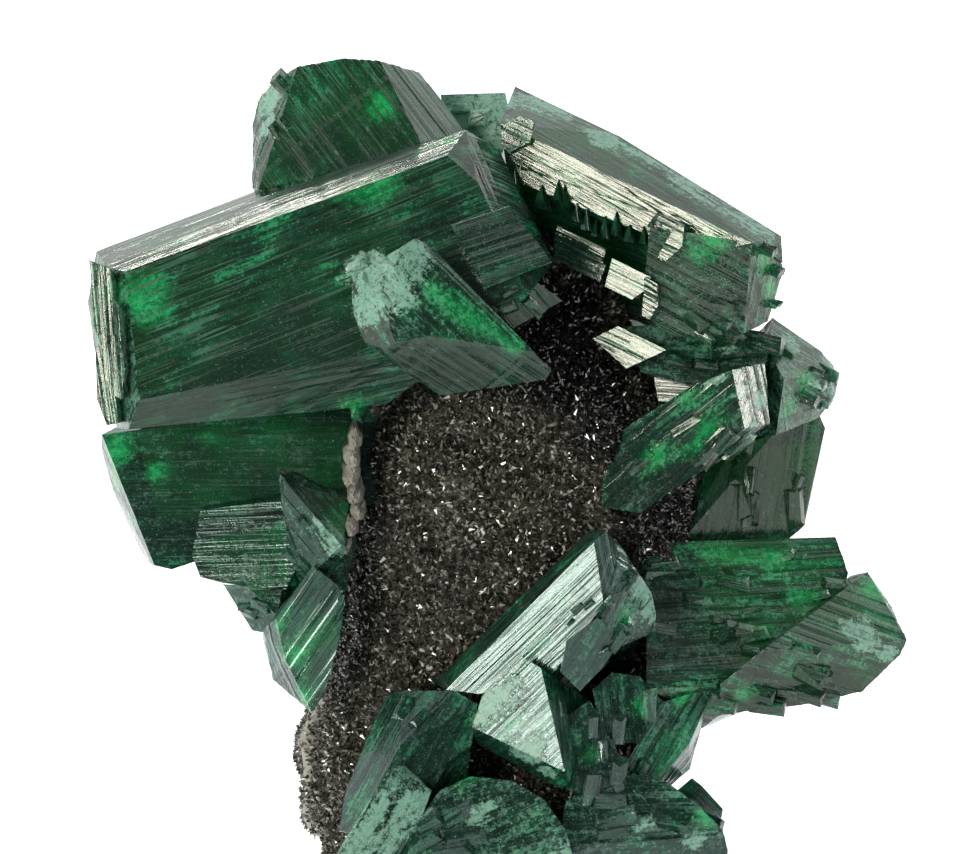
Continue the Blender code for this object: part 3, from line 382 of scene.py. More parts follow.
# Plates that stand on the crystals and gleam with them: the group, the outline as spots, how far out their
# front lies, their thickness, two spots along their striations, the grooves' spacing and depth, the frost
PLATES = (
    ("upper_right_crystals",
     ((655, 216), (682, 228), (680, 250), (662, 267), (642, 258), (645, 236)), 4.62, 0.5,
     ((640, 225), (690, 250)), 0.08, 0.020, 0.15),
    ("upper_right_crystals",
     ((502, 128), (520, 118), (534, 124), (530, 146), (508, 156), (500, 146)), 4.25, 0.5,
     ((500, 122), (560, 150)), 0.12, 0.020, 0.60),
    ("lower_left_crystals", ((268, 556), (312, 556), (318, 604), (278, 604)), 6.3, 1.0,
     ((268, 556), (312, 556)), 0.10, 0.010, 0.10),
    ("upper_right_crystals", ((650, 368), (704, 372), (700, 404), (656, 402)), 2.5, 0.8,
     ((650, 368), (704, 372)), 0.10, 0.010, 0.10),
    ("bottom_crystals", ((645, 688), (674, 690), (670, 728), (648, 726)), 3.4, 0.8,
     ((645, 688), (674, 690)), 0.10, 0.010, 0.10),
    ("upper_left_crystals", ((96, 262), (106, 266), (112, 300), (110, 352), (100, 330)), 9.6, 0.9,
     ((100, 265), (108, 350)), 0.06, 0.014, 0.45),
    ("upper_left_crystals",
     ((108, 268), (120, 272), (126, 330), (124, 395), (114, 380), (106, 300)), 10.9, 0.9,
     ((110, 270), (118, 390)), 0.05, 0.014, 0.45),
    ("upper_left_crystals", ((122, 300), (130, 310), (136, 370), (132, 402), (122, 396)), 11.35, 0.9,
     ((124, 300), (132, 400)), 0.05, 0.014, 0.45),
    ("upper_left_crystals",
     ((104, 345), (114, 352), (126, 400), (128, 424), (116, 426), (106, 400)), 10.8, 0.9,
     ((108, 345), (120, 420)), 0.05, 0.014, 0.45),
)
PLATE_TAPER = 0.12

# Rows of teeth: the group, each tooth's tip with its width and its height in steps, and how far out they lie
TEETH = (
    ("upper_right_crystals", (
        (514, 172, 6, 20), (541, 186, 10, 26), (557, 182, 6, 22), (563, 186, 6, 24), (575, 205, 6, 20),
        (585, 212, 7, 22), (594, 222, 5, 18), (603, 218, 7, 24), (614, 214, 7, 26), (627, 226, 8, 20),
        (641, 228, 6, 20), (655, 214, 12, 18)), 4.0),
)

# Where small crystals grow out of a group's crystals: the group, the spot in the middle, the reach in steps,
# how many and how large
RUBBLE = (
    ("lower_right_crystals", (700, 600), (60, 45), 12, 0.5),
    ("lower_right_crystals", (780, 660), (70, 35), 12, 0.5),
    ("lower_right_crystals", (760, 700), (60, 12), 7, 0.45),
    ("lower_right_crystals", (790, 570), (50, 25), 6, 0.4),
    ("bottom_crystals", (610, 730), (40, 40), 9, 0.5), ("bottom_crystals", (640, 800), (70, 30), 9, 0.6),
    ("bottom_crystals", (480, 810), (70, 30), 6, 0.7), ("bottom_crystals", (420, 730), (40, 35), 4, 0.4),
    ("right_crystals", (765, 480), (50, 45), 12, 0.5), ("right_crystals", (800, 385), (28, 45), 7, 0.35),
    ("right_crystals", (660, 450), (50, 45), 6, 0.45),
    ("upper_right_crystals", (710, 345), (50, 30), 10, 0.5),
    ("upper_right_crystals", (740, 290), (35, 45), 6, 0.4),
    ("upper_right_crystals", (475, 112), (28, 14), 5, 0.45),
    ("centre_crystals", (620, 610), (25, 40), 7, 0.35), ("centre_crystals", (570, 600), (25, 25), 3, 0.22),
    ("upper_left_crystals", (380, 290), (22, 40), 5, 0.35),
    ("upper_left_crystals", (275, 110), (15, 30), 3, 0.4),
    ("upper_left_crystals", (505, 300), (30, 15), 3, 0.35),
    ("lower_left_crystals", (320, 550), (25, 40), 4, 0.3),
    ("lower_left_crystals", (250, 600), (25, 15), 3, 0.3),
)

# The spacing and the depth of the grooves on teeth and on small crystals, and how frosted these are
TOOTH_GROWTH = (0.1, 0.008, 0.08)
RUBBLE_GROWTH = (0.09, 0.006, 0.2)

# How much longer than wide a small crystal is, and how far it turns from the one it grows on and leans over
RUBBLE_LENGTH = 1.5
RUBBLE_TURN = 0.25
RUBBLE_LEAN = 0.15

# The rock's outline: height, left, right, front, back
ROCK_OUTLINE = (
    (-0.6, -6.78, 6.42, -5.70, 7.70),
    (3.6, -6.08, 6.02, -5.30, 7.10),
    (6.8, -6.43, 4.62, -4.30, 6.70),
    (10, -5.08, 5.02, -3.50, 6.50),
    (13.5, -4.58, 6.22, -3.20, 6.30),
    (16, -4.68, 6.32, -3.10, 6.10),
    (18, -4.68, 5.62, -2.70, 5.70),
    (20.2, -3.78, 4.42, -1.30, 5.30),
    (22.6, -3.18, 3.82, 0.30, 4.70),
    (24, -2.38, 2.82, 1.30, 4.10),
)

# The lower these are, the blunter is the rock's top and the squarer is its outline
ROCK_BLUNTNESS = 0.4
ROCK_SQUARENESS = 0.55

# The rock's lumps, bumps and pits
LUMP_SIZE = 1.9
LUMP_HEIGHT = 0.45
BUMP_SIZE = 0.6
BUMP_HEIGHT = 0.13
PIT_SIZE = 0.22
PIT_DEPTH = 0.05

# Places on the rock that differ from the rest, each with its reach
GREY_PATCHES = (((-2.4, -3.6, 13.6), 2.6), ((-1.6, -3.4, 15.2), 1.6), ((-3.2, -3.8, 11.8), 1.4))
OLIVE_PATCHES = (((0.3, -3.4, 15.0), 1.3),)
RIND = (
    ((-4.5, -4.3, 17.4), 0.9), ((-4.6, -4.3, 16.7), 0.9), ((-4.5, -4.3, 15.9), 0.9),
    ((-4.4, -4.2, 15.3), 0.8), ((-4.6, -4.2, 14.7), 0.8), ((-4.8, -4.0, 14.1), 0.8),
    ((-4.6, -3.2, 16.0), 0.7), ((-6.3, -0.6, 8.2), 1.5), ((-6.6, -0.6, 6.6), 1.5),
    ((-6.5, -0.4, 5.0), 1.3), ((-6.0, -0.4, 3.6), 1.3),
)
# Hollows behind the crystals, which painted shade darkens on the rock and on its grains
SHADED_HOLLOWS = (
    ((2.0, -1.2, 21.2), 2.0), ((2.6, -1.6, 19.2), 1.9), ((3.4, -2.2, 17.6), 1.4), ((5.4, -1.6, 15.6), 1.8),
    ((4.4, -2.6, 14.6), 1.3), ((3.2, -3.0, 9.6), 1.2),
)

# Lumps of rind along the rock's left edge: the spot in the middle, half the width and half the height. All
# have their middle at the same depth and reach as far in front of it as behind it.
RIND_LUMPS = (
    ((358, 434), 0.22, 0.42), ((355, 452), 0.30, 0.45), ((354, 470), 0.32, 0.45), ((358, 488), 0.28, 0.45),
    ((361, 505), 0.24, 0.40), ((354, 520), 0.28, 0.40), ((348, 538), 0.30, 0.42),
)
RIND_DEPTH = -2.9
RIND_REACH = 1.5

# The sorts of grains: the seed, the name, the blunt tip's size and how close they stand
DRUSE = (
    (1, "druse", 0.25, 1.0),
    (2, "druse_between", 0.0, 2.2),
    (3, "druse_fine", 0.0, 2.2),
    (4, "druse_specks", 0.0, 2.2),
    (5, "druse_dust", 0.0, 2.2),
)

# Grains stand from this height up, sparsely on the rind, and not where the crystals cover the rock this deep
LOWEST_GRAIN = 0.1
SPARSE = 0.06
COVER_DEPTH = 0.15

# A grain's sides, the radius of its foot and its height, in its own size, how far it leans and turns, in
# radians, and the seeds of the grains' sizes and shades
GRAIN_SIDES = 4
GRAIN_FOOT = 0.42
GRAIN_TALL = 1.15
GRAIN_LEAN = 0.9
GRAIN_TURN = 6.3
SIZE_SEED = 7
SHADE_SEED = 11

# Colours inside the crystals and on them; two together are the ends of a range
CLEAR_GREEN = (0.80, 0.97, 0.90)
VEIL_GREEN = ((0.002, 0.014, 0.008), (0.006, 0.075, 0.038))
# The next three colours are painted light: a painted reflection, painted shade and a painted glow
PAINTED_GLEAM_GREEN = (0.003, 0.30, 0.10)
PAINTED_SHADE_GREEN = (0.006, 0.026, 0.016)
PAINTED_GLOW_EMERALD = (0.006, 0.52, 0.14)
GROOVE_GREEN = ((0.004, 0.022, 0.013), (0.012, 0.15, 0.08))
FROST_GREEN = ((0.016, 0.12, 0.07), (0.26, 0.52, 0.40))

# Colours of the rock, and the shades of its grains from the darkest to the rare bright ones
BROWN = ((0.010, 0.010, 0.007), (0.075, 0.070, 0.054))
GREY = ((0.030, 0.026, 0.027), (0.11, 0.095, 0.098))
OLIVE = (0.045, 0.048, 0.028)
TAN = ((0.30, 0.29, 0.25), (0.72, 0.70, 0.62))
# Painted shade in the hollows behind the crystals, on the rock and on its grains
PAINTED_HOLLOW_SHADE = (0.002, 0.002, 0.0015)
PAINTED_GRAIN_SHADE = (0.001, 0.001, 0.001)
GRAIN_SHADES = (
    (0.0, (0.006, 0.006, 0.004)), (0.5, (0.040, 0.037, 0.025)), (0.85, (0.12, 0.115, 0.082)),
    (0.95, (0.30, 0.29, 0.24)), (1.0, (0.85, 0.85, 0.80)),
)

# The stage, in metres: half the floor's width, from where to where across it its glow grows, and the lamps'
# distance from the height that they aim at
FLOOR_HALF = 2.0
FLOOR_LIT = (-0.01, 0.022)
LAMP_AIM = 0.017
LAMP_DISTANCE = 0.3

# The floor's glow in front and behind and its strength, the side that the room is bright on, from where to
# where round to it the light grows, and the room's light elsewhere and there
FLOOR_GLOW = ((0.15, 0.15, 0.15), (1, 1, 1))
GLOW_STRENGTH = 0.95
BRIGHT_SIDE = (0.0, 1.0, 0.35)
BRIGHT_FROM = (-0.15, 0.35)
ROOM_LIGHT = ((0.05, 0.055, 0.06), (1, 1, 1))

# The lamps: the name, the direction, the width, the strength beside the flash and the colour
LAMPS = (
    ("flash", (-0.52, -0.83, 0.21), 0.12, 1.0, (1.0, 0.95, 0.84)),
    ("top_light", (-0.309, 0.672, 0.673), 0.032, 1.5, (1.0, 0.98, 0.90)),
    ("side_light", (0.841, 0.372, 0.393), 0.10, 0.55, (1.0, 0.98, 0.92)),
)


# SHADING


class Value:
    """A node's output socket, so that plain maths on it adds Math nodes."""

    def __init__(self, shading, socket):
        self.shading = shading
        self.socket = socket

    def maths(self, operation, *numbers):
        return self.shading.node("Math", {"operation": operation}, numbers)

    def __add__(self, other):
        return self.maths("ADD", self, other)

    def __radd__(self, other):
        return self.maths("ADD", other, self)

    def __sub__(self, other):
        return self.maths("SUBTRACT", self, other)

    def __rsub__(self, other):
        return self.maths("SUBTRACT", other, self)

    def __mul__(self, other):
        return self.maths("MULTIPLY", self, other)

    def __rmul__(self, other):
        return self.maths("MULTIPLY", other, self)

    def at_least(self, other):
        return self.maths("MAXIMUM", self, other)

    def at_most(self, other):
        return self.maths("MINIMUM", self, other)


class Shading:
    """The node tree of one material or world."""

    def __init__(self, owner):
        owner.use_nodes = True
        self.tree = owner.node_tree
        self.tree.nodes.clear()

    def node(self, kind, settings=(), inputs=(), output=0):
        """Adds a node, sets it up, and gives back one of its outputs."""
        made = self.tree.nodes.new("ShaderNode" + kind)
        for name, setting in dict(settings).items():
            if name == "stops":
                self.ramp(made.color_ramp, setting)
            else:
                setattr(made, name, setting)
        named = inputs.items() if isinstance(inputs, dict) else enumerate(inputs)
        for name, given in named:
            if isinstance(given, Value):
                self.tree.links.new(given.socket, made.inputs[name])
            else:
                made.inputs[name].default_value = given
        return Value(self, made.outputs[output])

    def ramp(self, ramp, stops):
        while len(ramp.elements) < len(stops):
            ramp.elements.new(1.0)
        for element, (place, colour) in zip(ramp.elements, stops):
            element.position = place
            element.color = (*colour, 1)

    def object_place(self):
        return self.node("TexCoord", output="Object")

    def place(self):
        """Object coordinates, in millimetres."""
        return self.node("VectorMath", {"operation": "SCALE"}, {0: self.object_place(), "Scale": 1 / MM})

    def attribute(self, name):
        return self.node("Attribute", {"attribute_name": name}, output="Fac")

    def speckle(self, vector, scale, detail=2.0, roughness=0.5, dimensions="3D"):
        """Noise from 0 to 1 about a half."""
        return self.node("TexNoise", {"noise_dimensions": dimensions}, {
            "Vector": vector, "Scale": scale, "Detail": detail, "Roughness": roughness})

    def step(self, value, low, high):
        """0 below low and 1 above high, smooth between."""
        return self.node("MapRange", {"interpolation_type": "SMOOTHSTEP"},
                         {"Value": value, "From Min": low, "From Max": high})

    def marked(self, name, noise):
        """1 at the spots of a mark and 0 away from them, with a ragged edge."""
        return self.step(self.attribute(name) + (noise - 0.5) * 0.9, 0.22, 0.62)

    def mix(self, share, first, second):
        """A mix of two colours."""
        def full(colour):
            return colour if isinstance(colour, Value) else (*colour, 1)
        return self.node("Mix", {"data_type": "RGBA"}, {0: share, 6: full(first), 7: full(second)}, output=2)

    def scaled(self, vector, by):
        """A vector with each part multiplied by its own number."""
        return self.node("VectorMath", {"operation": "MULTIPLY"}, (vector, by))

    def bump(self, height, strength, distance):
        return self.node("Bump", {}, {"Height": height, "Strength": strength, "Distance": distance})

    def show(self, surface, volume=None, kind="OutputMaterial"):
        """Ends the tree with what it looks like."""
        output = self.tree.nodes.new("ShaderNode" + kind)
        self.tree.links.new(surface.socket, output.inputs["Surface"])
        if volume is not None:
            self.tree.links.new(volume.socket, output.inputs["Volume"])


def mark(mesh, name, spots):
    """Writes how near each vertex is to some spots: 1 in their middle, 0 a reach and a half away."""
    places = numpy.empty(len(mesh.vertices) * 3)
    mesh.vertices.foreach_get("co", places)
    places = places.reshape(-1, 3) / MM
    near = numpy.zeros(len(places))
    for middle, reach in spots:
        away = numpy.linalg.norm(places - numpy.array(middle), axis=1)
        near = numpy.maximum(near, 1 - away / (reach * MARK_SPREAD))
    mesh.attributes.new(name, "FLOAT", "POINT").data.foreach_set("value", near)


def crystal_material(settings, tint):
    """Clear green crystal that darkens with depth, striated along its grain, frosted and dusty in places,
    with painted gleams, glow and shade.
    """
    material = bpy.data.materials.new("adamite_" + tint)
    make = Shading(material)
    place = make.place()
    grain = make.node("UVMap", {"uv_map": "grain"})
    rough = make.attribute("frost")
    flecks = make.speckle(place, 5.5, 2.0, 0.8)
    grit = make.speckle(place, 19.0, 1.0)
    clouds = make.speckle(place, 0.6, 2.0, 0.6)

    def along_grain(length, width, detail):
        return make.speckle(make.scaled(grain, (length, width, 1)), 1.0, detail, 0.7, "2D")

    streaks = along_grain(0.45, 3.0, 3.0)
    wander = flecks * 0.5 + streaks * 0.5
    frost = rough.at_least(make.marked("frosted", wander) * 1.1)
    # Painted shade at the places where the crystals lie dark
    gloom = make.marked("gloom", wander)

    # Fine grooves, and the lines of them that are worn dull; at the places of painted shade the veil also
    # takes the groove colour at its darkest, as painted shade
    height = (along_grain(0.16, 9, 2.0) * 0.45 + along_grain(0.10, 2.6, 1.0) * 0.7
              + flecks * (0.03 + frost * 0.7) + grit * rough * 0.3)
    normal = make.bump(height, settings.groove_strength, settings.groove_height * MM)
    broken = make.step(along_grain(0.5, 1.4, 1.0), 0.28, 0.50)
    lines = make.step(along_grain(0.25, 13, 1.0), 0.53, 0.63) * broken * make.attribute("lines")
    worn_and_shaded = lines.at_least(gloom * 0.8)
    grooves = make.mix(make.step(clouds, 0.42, 0.60) * (1 - gloom), *GROOVE_GREEN)

    # Veils and flaws inside, as they show at the surface: dark green, with emerald gleams along the grain
    # that are painted reflections, painted glow at the glowing places and painted shade at the dark places
    painted_gleam = make.step(streaks * 0.6 + flecks * 0.4, 0.50, 0.64) * make.step(clouds, 0.47, 0.60)
    lit = make.step(make.attribute("glow") + (wander - 0.5) * 1.3, 0.15, 0.95)
    depths = make.mix(make.step(streaks, 0.35, 0.65), *VEIL_GREEN)
    depths = make.mix(painted_gleam, depths, PAINTED_GLEAM_GREEN)
    depths = make.mix(gloom * 0.85, depths, PAINTED_SHADE_GREEN)
    depths = make.mix(lit, depths, PAINTED_GLOW_EMERALD)
    veil_and_painted_share = 0.60 + make.step(clouds * 0.5 + flecks * 0.5, 0.42, 0.60) * 0.28
    veil_and_painted_share = veil_and_painted_share.at_least(lit * 0.8).at_least(gloom * 0.85)

    # Frost and dust on top
    dust = make.step(grit, 0.66, 0.76)
    spread = make.step(flecks * 0.42 + grit * 0.18 + streaks * 0.4, 0.54 - frost * 0.22, 0.66 - frost * 0.10)
    frosted = spread * (frost * settings.frost_cover).at_most(1.0)
    cover = (frosted + dust * (0.3 + frost * 0.3) + 0.04).at_most(0.95)
    pale = make.step(clouds * 0.25 + flecks * 0.45 + grit * 0.3 + frost * 0.08, 0.33, 0.66)

    def layer(colour, roughness, **rest):
        sockets = {"Base Color": colour, "Roughness": roughness, "IOR": settings.ior, "Normal": normal}
        return make.node("BsdfPrincipled", {}, {**sockets, **rest})

    gloss = {"Specular Tint": (*GLOSS[tint], 1)}
    smooth = 0.03 + flecks * 0.07 + rough * 0.12
    glass = layer((*CLEAR_GREEN, 1), smooth, **gloss, **{"Transmission Weight": 1.0})
    # The veil layer carries the real veils along with the painted gleams, glow and shade
    veil_and_painted_light = layer(make.mix(worn_and_shaded, depths, grooves), smooth + lines * 0.42, **gloss)
    frosting = layer(make.mix(pale, *FROST_GREEN), 0.42)
    body = make.node("MixShader", {}, {0: veil_and_painted_share.at_least(worn_and_shaded), 1: glass, 2: veil_and_painted_light})
    surface = make.node("MixShader", {}, {0: cover, 1: body, 2: frosting})
    volume = make.node("VolumeAbsorption", {}, {
        "Color": (*settings.body_colour, 1), "Density": settings.density / MM})
    make.show(surface, volume)
    return material


def rock_material():
    """Dark brown rock with grey and olive patches, a tan rind, and painted black shade in the recesses behind
    the crystals.
    """
    material = bpy.data.materials.new("gossan")
    make = Shading(material)
    place = make.place()
    mottle = make.speckle(place, 1.6, 4.0, 0.65)
    colour = make.mix(make.step(mottle, 0.3, 0.7), *BROWN)
    colour = make.mix(make.marked("grey", mottle), colour, make.mix(mottle, *GREY))
    colour = make.mix(make.marked("olive", mottle), colour, OLIVE)
    colour = make.mix(make.marked("rind", mottle) * 0.85, colour, make.mix(mottle, *TAN))
    # Painted shade in the hollows behind the crystals
    colour = make.mix(make.marked("hollow", mottle), colour, PAINTED_HOLLOW_SHADE)
    normal = make.bump(make.speckle(place, 6.0, 5.0, 0.7), 0.8, 0.1 * MM)
    make.show(make.node("BsdfPrincipled", {}, {"Base Color": colour, "Roughness": 0.60, "Normal": normal}))
    return material


def druse_material():
    """Tiny glassy brown crystals, each of its own shade."""
    material = bpy.data.materials.new("druse")
    make = Shading(material)
    colour = make.node("ValToRGB", {"stops": GRAIN_SHADES}, (make.attribute("shade"),))
    # Painted shade: grains in the hollows turn nearly black
    recess_shade_share = make.step(make.attribute("hollow"), 0.15, 0.55) * 0.93
    colour = make.mix(recess_shade_share, colour, PAINTED_GRAIN_SHADE)
    make.show(make.node("BsdfPrincipled", {}, {"Base Color": colour, "Roughness": 0.12, "IOR": 2.1}))
    return material


# CRYSTALS


def made_object(name, block):
    """An object made from a bmesh."""
    data = bpy.data.meshes.new(name)
    block.to_mesh(data)
    block.free()
    obj = bpy.data.objects.new(name, data)
    bpy.context.collection.objects.link(obj)
    return obj


def join(whole, block):
    """Joins a bmesh into an object's closed mesh."""
    part = made_object("part", block)
    joining = whole.modifiers.new("join", "BOOLEAN")
    joining.object = part
    joining.operation = "UNION"
    joining.solver = "MANIFOLD"
    joined = bpy.data.meshes.new_from_object(whole.evaluated_get(bpy.context.evaluated_depsgraph_get()))
    whole.modifiers.remove(joining)
    whole.data = joined
    bpy.data.objects.remove(part)


def finish(obj, marks, material):
    """Writes a joined object's marks and gives it its material alone."""
    for kind, spots in marks:
        mark(obj.data, kind, spots)
    obj.data.materials.clear()
    obj.data.materials.append(material)


def put(obj, node):
    """Hands a finished piece to the frame."""
    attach(obj, BODY)
    if node:
        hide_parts(node)


def hull_block(corners):
    """The hull of some corners, as a bmesh."""
    block = bmesh.new()
    for corner in corners:
        block.verts.new(corner)
    hull = bmesh.ops.convex_hull(block, input=block.verts)
    unused = [item for item in hull["geom_interior"] if isinstance(item, bmesh.types.BMVert)]
    bmesh.ops.delete(block, geom=unused, context="VERTS")
    bmesh.ops.recalc_face_normals(block, faces=block.faces)
    return block


def hull_planes(corners):
    """The planes around some corners, each as a normal and how far out it lies."""
    block = hull_block(corners)
    planes = [(face.normal.copy(), face.normal.dot(face.verts[0].co)) for face in block.faces]
    block.free()
    return planes


def hull_tree(corners):
    """The hull of some corners, to find where a line of sight meets it."""
    block = hull_block(corners)
    tree = BVHTree.FromBMesh(block)
    block.free()
    return tree


def buried(place, hulls):
    """Whether a place lies inside one of the crystals."""
    return any(all(normal.dot(place) < reach - COVER_DEPTH for normal, reach in planes) for planes in hulls)


def grown_corners(name):
    """Each crystal of a group: its corners, the direction of its striations, and the rest of its growth."""
    if name in CRYSTALS:
        crystals = [[Vector(corner) for corner in crystal] for crystal in CRYSTALS[name]]
        growth = GROWTH[name]
    else:
        group, number, turn, size, middle = BACK_CRYSTALS[name]
        crystal = [Vector(corner) for corner in CRYSTALS[group][number]]
        centre = sum(crystal, Vector()) / len(crystal)
        turning = Matrix.Rotation(math.radians(turn), 3, "Z") * size
        crystals = [[turning @ (corner - centre) + Vector(middle) for corner in crystal]]
        growth = GROWTH[group][number:number + 1]
    grown = []
    for corners, (along, spacing, depth, frost) in zip(crystals, growth):
        if len(along) == 2:
            axis = corners[along[1]] - corners[along[0]]
        else:
            axis = Vector(along)
        grown.append((corners, axis.normalized(), spacing, depth, frost))
    return grown


def in_space(spot, depth):
    """The place seen at a spot of the front view, at a depth from front to back."""
    across, down = spot
    x = FRONT_VIEW_MIDDLE[0] + (across - FRONT_VIEW_SIZE[0] / 2) * FRONT_VIEW_STEP
    rise = (FRONT_VIEW_SIZE[1] / 2 - down) * FRONT_VIEW_STEP
    rise -= (depth - FRONT_VIEW_MIDDLE[1]) * math.sin(FRONT_VIEW_TILT)
    return Vector((x, depth, FRONT_VIEW_MIDDLE[2] + rise / math.cos(FRONT_VIEW_TILT)))


def on_facet(spot, offset):
    """The place seen at a spot of the front view on a facet that gleams, offset from the origin."""
    near, far = in_space(spot, -SIGHT), in_space(spot, SIGHT)
    share = (offset - near.dot(FLASH_NORMAL)) / (far - near).dot(FLASH_NORMAL)
    return near + (far - near) * share


def plate(spots, offset, thickness, along, *growth):
    """A plate that gleams, a little narrower at its back."""
    front = [on_facet(spot, offset) for spot in spots]
    middle = sum(front, Vector()) / len(front)
    back = [corner + (middle - corner) * PLATE_TAPER - FLASH_NORMAL * thickness for corner in front]
    axis = on_facet(along[1], offset) - on_facet(along[0], offset)
    return front + back, axis.normalized(), *growth


def tooth(offset, across, down, width, tall):
    """A small pointed crystal that hangs in a row with others."""
    tip = on_facet((across, down), offset + 0.12)
    foot = on_facet((across + width * 0.3, down + tall), offset + 0.55)
    left = on_facet((across - width, down + tall * 0.9), offset + 0.1)
    right = on_facet((across + width, down + tall * 1.1), offset + 0.2)
    inside = FLASH_NORMAL * -0.5
    corners = [tip, foot, left, right, tip + inside, left + inside, right + inside]
    return corners, (foot - tip).normalized(), *TOOTH_GROWTH


def overgrowth(name):
    """The plates and teeth that stand on a group's crystals, as grown_corners gives crystals."""
    plates = [plate(*given) for group, *given in PLATES if group == name]
    teeth = [tooth(offset, *given) for group, row, offset in TEETH if group == name for given in row]
    return plates + teeth


def rubble(name, crystals):
    """Small crystals that grow out of a group's crystals, as grown_corners gives crystals."""
    dice = random.Random(name + " rubble")
    view = (in_space((0, 0), 1) - in_space((0, 0), 0)).normalized()
    trees = [hull_tree(corners) for corners, *_ in crystals]
    grown = []
    for group, middle, spread, count, size in RUBBLE:
        for _ in range(count if group == name else 0):
            spot = [centre + dice.uniform(-1, 1) * reach for centre, reach in zip(middle, spread)]
            turn = Vector([dice.uniform(-1, 1) for _ in range(3)])
            half = size * dice.uniform(0.5, 1.0)
            slant = dice.uniform(-0.3, 0.3)
            hits = [(*tree.ray_cast(in_space(spot, -SIGHT), view), axis)
                    for tree, (_, axis, *_) in zip(trees, crystals)]
            hits = [hit for hit in hits if hit[0] is not None]
            if not hits:
                continue
            place, normal, _, _, axis = min(hits, key=lambda hit: hit[3])
            along = (axis + turn * RUBBLE_TURN).normalized()
            out = (normal - along * normal.dot(along) + turn.zyx * RUBBLE_LEAN).normalized()
            side = along.cross(out).normalized()
            shape = (
                (-1, -0.6, -0.8), (-1, 0.6, -0.8), (1, -0.6, -0.8), (1, 0.6, -0.8),
                (-0.8, -0.6, 0.2 + slant), (-0.8, 0.6, 0.2 - slant), (0.8, -0.6, 0.2),
                (0.9, 0.6, 0.2 + slant), (-0.7, slant, 0.45), (0.6, slant, 0.5))
            corners = [place + (along * far * half * RUBBLE_LENGTH + side * wide * half + out * high * half)
                       for far, wide, high in shape]
            grown.append((corners, along, *RUBBLE_GROWTH))
    return grown


def cut_places(block, direction, spacing, dice):
    """Random places for cuts along a direction from one end of a block to the other, about spacing apart."""
    reach = [direction.dot(vert.co) for vert in block.verts]
    last = max(reach) + spacing
    cuts = [min(reach) - spacing]
    while cuts[-1] < last:
        cuts.append(cuts[-1] + spacing * dice.uniform(0.35, 1.65))
    return cuts


def slice_across(block, direction, cuts):
    """Cuts the faces of a block wherever a direction passes one of its cuts."""
    for cut in cuts[1:-1]:
        bmesh.ops.bisect_plane(block, geom=block.verts[:] + block.edges[:] + block.faces[:],
                               plane_co=direction * cut, plane_no=direction, dist=1e-5)


def write_grain(block, axis, directions, frost, ends_frosted, shift):
    """Lays the grain along a crystal, and writes how frosted and how lined its faces are."""
    grain = block.loops.layers.uv.new("grain")
    frosted = block.faces.layers.float.new("frost")
    lined = block.faces.layers.float.new("lines")
    for face in block.faces:
        turned = face.normal.cross(axis)
        if turned.length < END_FACE:
            turned = directions[0]
        turned.normalize()
        lengthways = axis - face.normal * axis.dot(face.normal)
        lengthways = lengthways.normalized() if lengthways.length > END_FACE else directions[1]
        face[frosted] = frost
        face[lined] = min(1.0, 0.9 - frost)
        for way, least, amount in ends_frosted:
            if face.normal.dot(Vector(way).normalized()) > least:
                face[frosted] = amount
        for loop in face.loops:
            loop[grain].uv = (lengthways.dot(loop.vert.co) + shift, turned.dot(loop.vert.co) + shift * 3)


def between(cuts, reach):
    """For each reach, the cut before it and the share of the way from there to the next cut."""
    cuts = numpy.array(cuts)
    before = numpy.clip(numpy.searchsorted(cuts, reach) - 1, 0, len(cuts) - 2)
    return before, (reach - cuts[before]) / (cuts[before + 1] - cuts[before])


def sink_grooves(block, axis, across, tables):
    """Sinks each vertex by the depths of the grooves there, and gives the block its real size."""
    places = numpy.array([vert.co for vert in block.verts])
    normals = numpy.array([vert.normal for vert in block.verts])
    row, share = between(across, places @ numpy.array(axis))
    sunk = numpy.zeros(len(places))
    for direction, cuts, depths in tables:
        depths = numpy.array(depths)
        column, part = between(cuts, places @ numpy.array(direction))
        near = depths[row, column] * (1 - part) + depths[row, column + 1] * part
        far = depths[row + 1, column] * (1 - part) + depths[row + 1, column + 1] * part
        sunk += near * (1 - share) + far * share
    for vert, place, normal, sink in zip(block.verts, places, normals, sunk):
        vert.co = (place - normal * sink) * MM


def shown_area(face):
    """About how much of a face shows from the front, to tell a crystal's main face by."""
    return face.calc_area() * (0.2 - face.normal.y) if face.normal.y < 0 else 0


def striated(corners, axis, spacing, depth, frost, dice, ends_frosted):
    """One crystal as a bmesh: the hull of its corners with grooves along its axis."""
    block = hull_block(corners)
    bmesh.ops.dissolve_limit(block, angle_limit=FLAT, verts=block.verts, edges=block.edges)
    bmesh.ops.recalc_face_normals(block, faces=block.faces)
    main = max(block.faces, key=shown_area)
    side = (main.normal - axis * main.normal.dot(axis)).normalized()
    directions = (side, axis.cross(side))
    across = cut_places(block, axis, GROOVE_LENGTH, dice)
    tables = []
    for direction in directions:
        cuts = cut_places(block, direction, spacing, dice)
        slice_across(block, direction, cuts)
        steady = [dice.random() for _ in cuts]
        depths = [[(STEADY * one + WANDERING * dice.random()) * depth * DEEPENING for one in steady]
                  for _ in across]
        tables.append((direction, cuts, depths))
    slice_across(block, axis, across)
    block.normal_update()

    # The grain is written before the grooves bend the faces
    write_grain(block, axis, directions, frost, ends_frosted, dice.uniform(0, 50))
    sink_grooves(block, axis, across, tables)
    return block


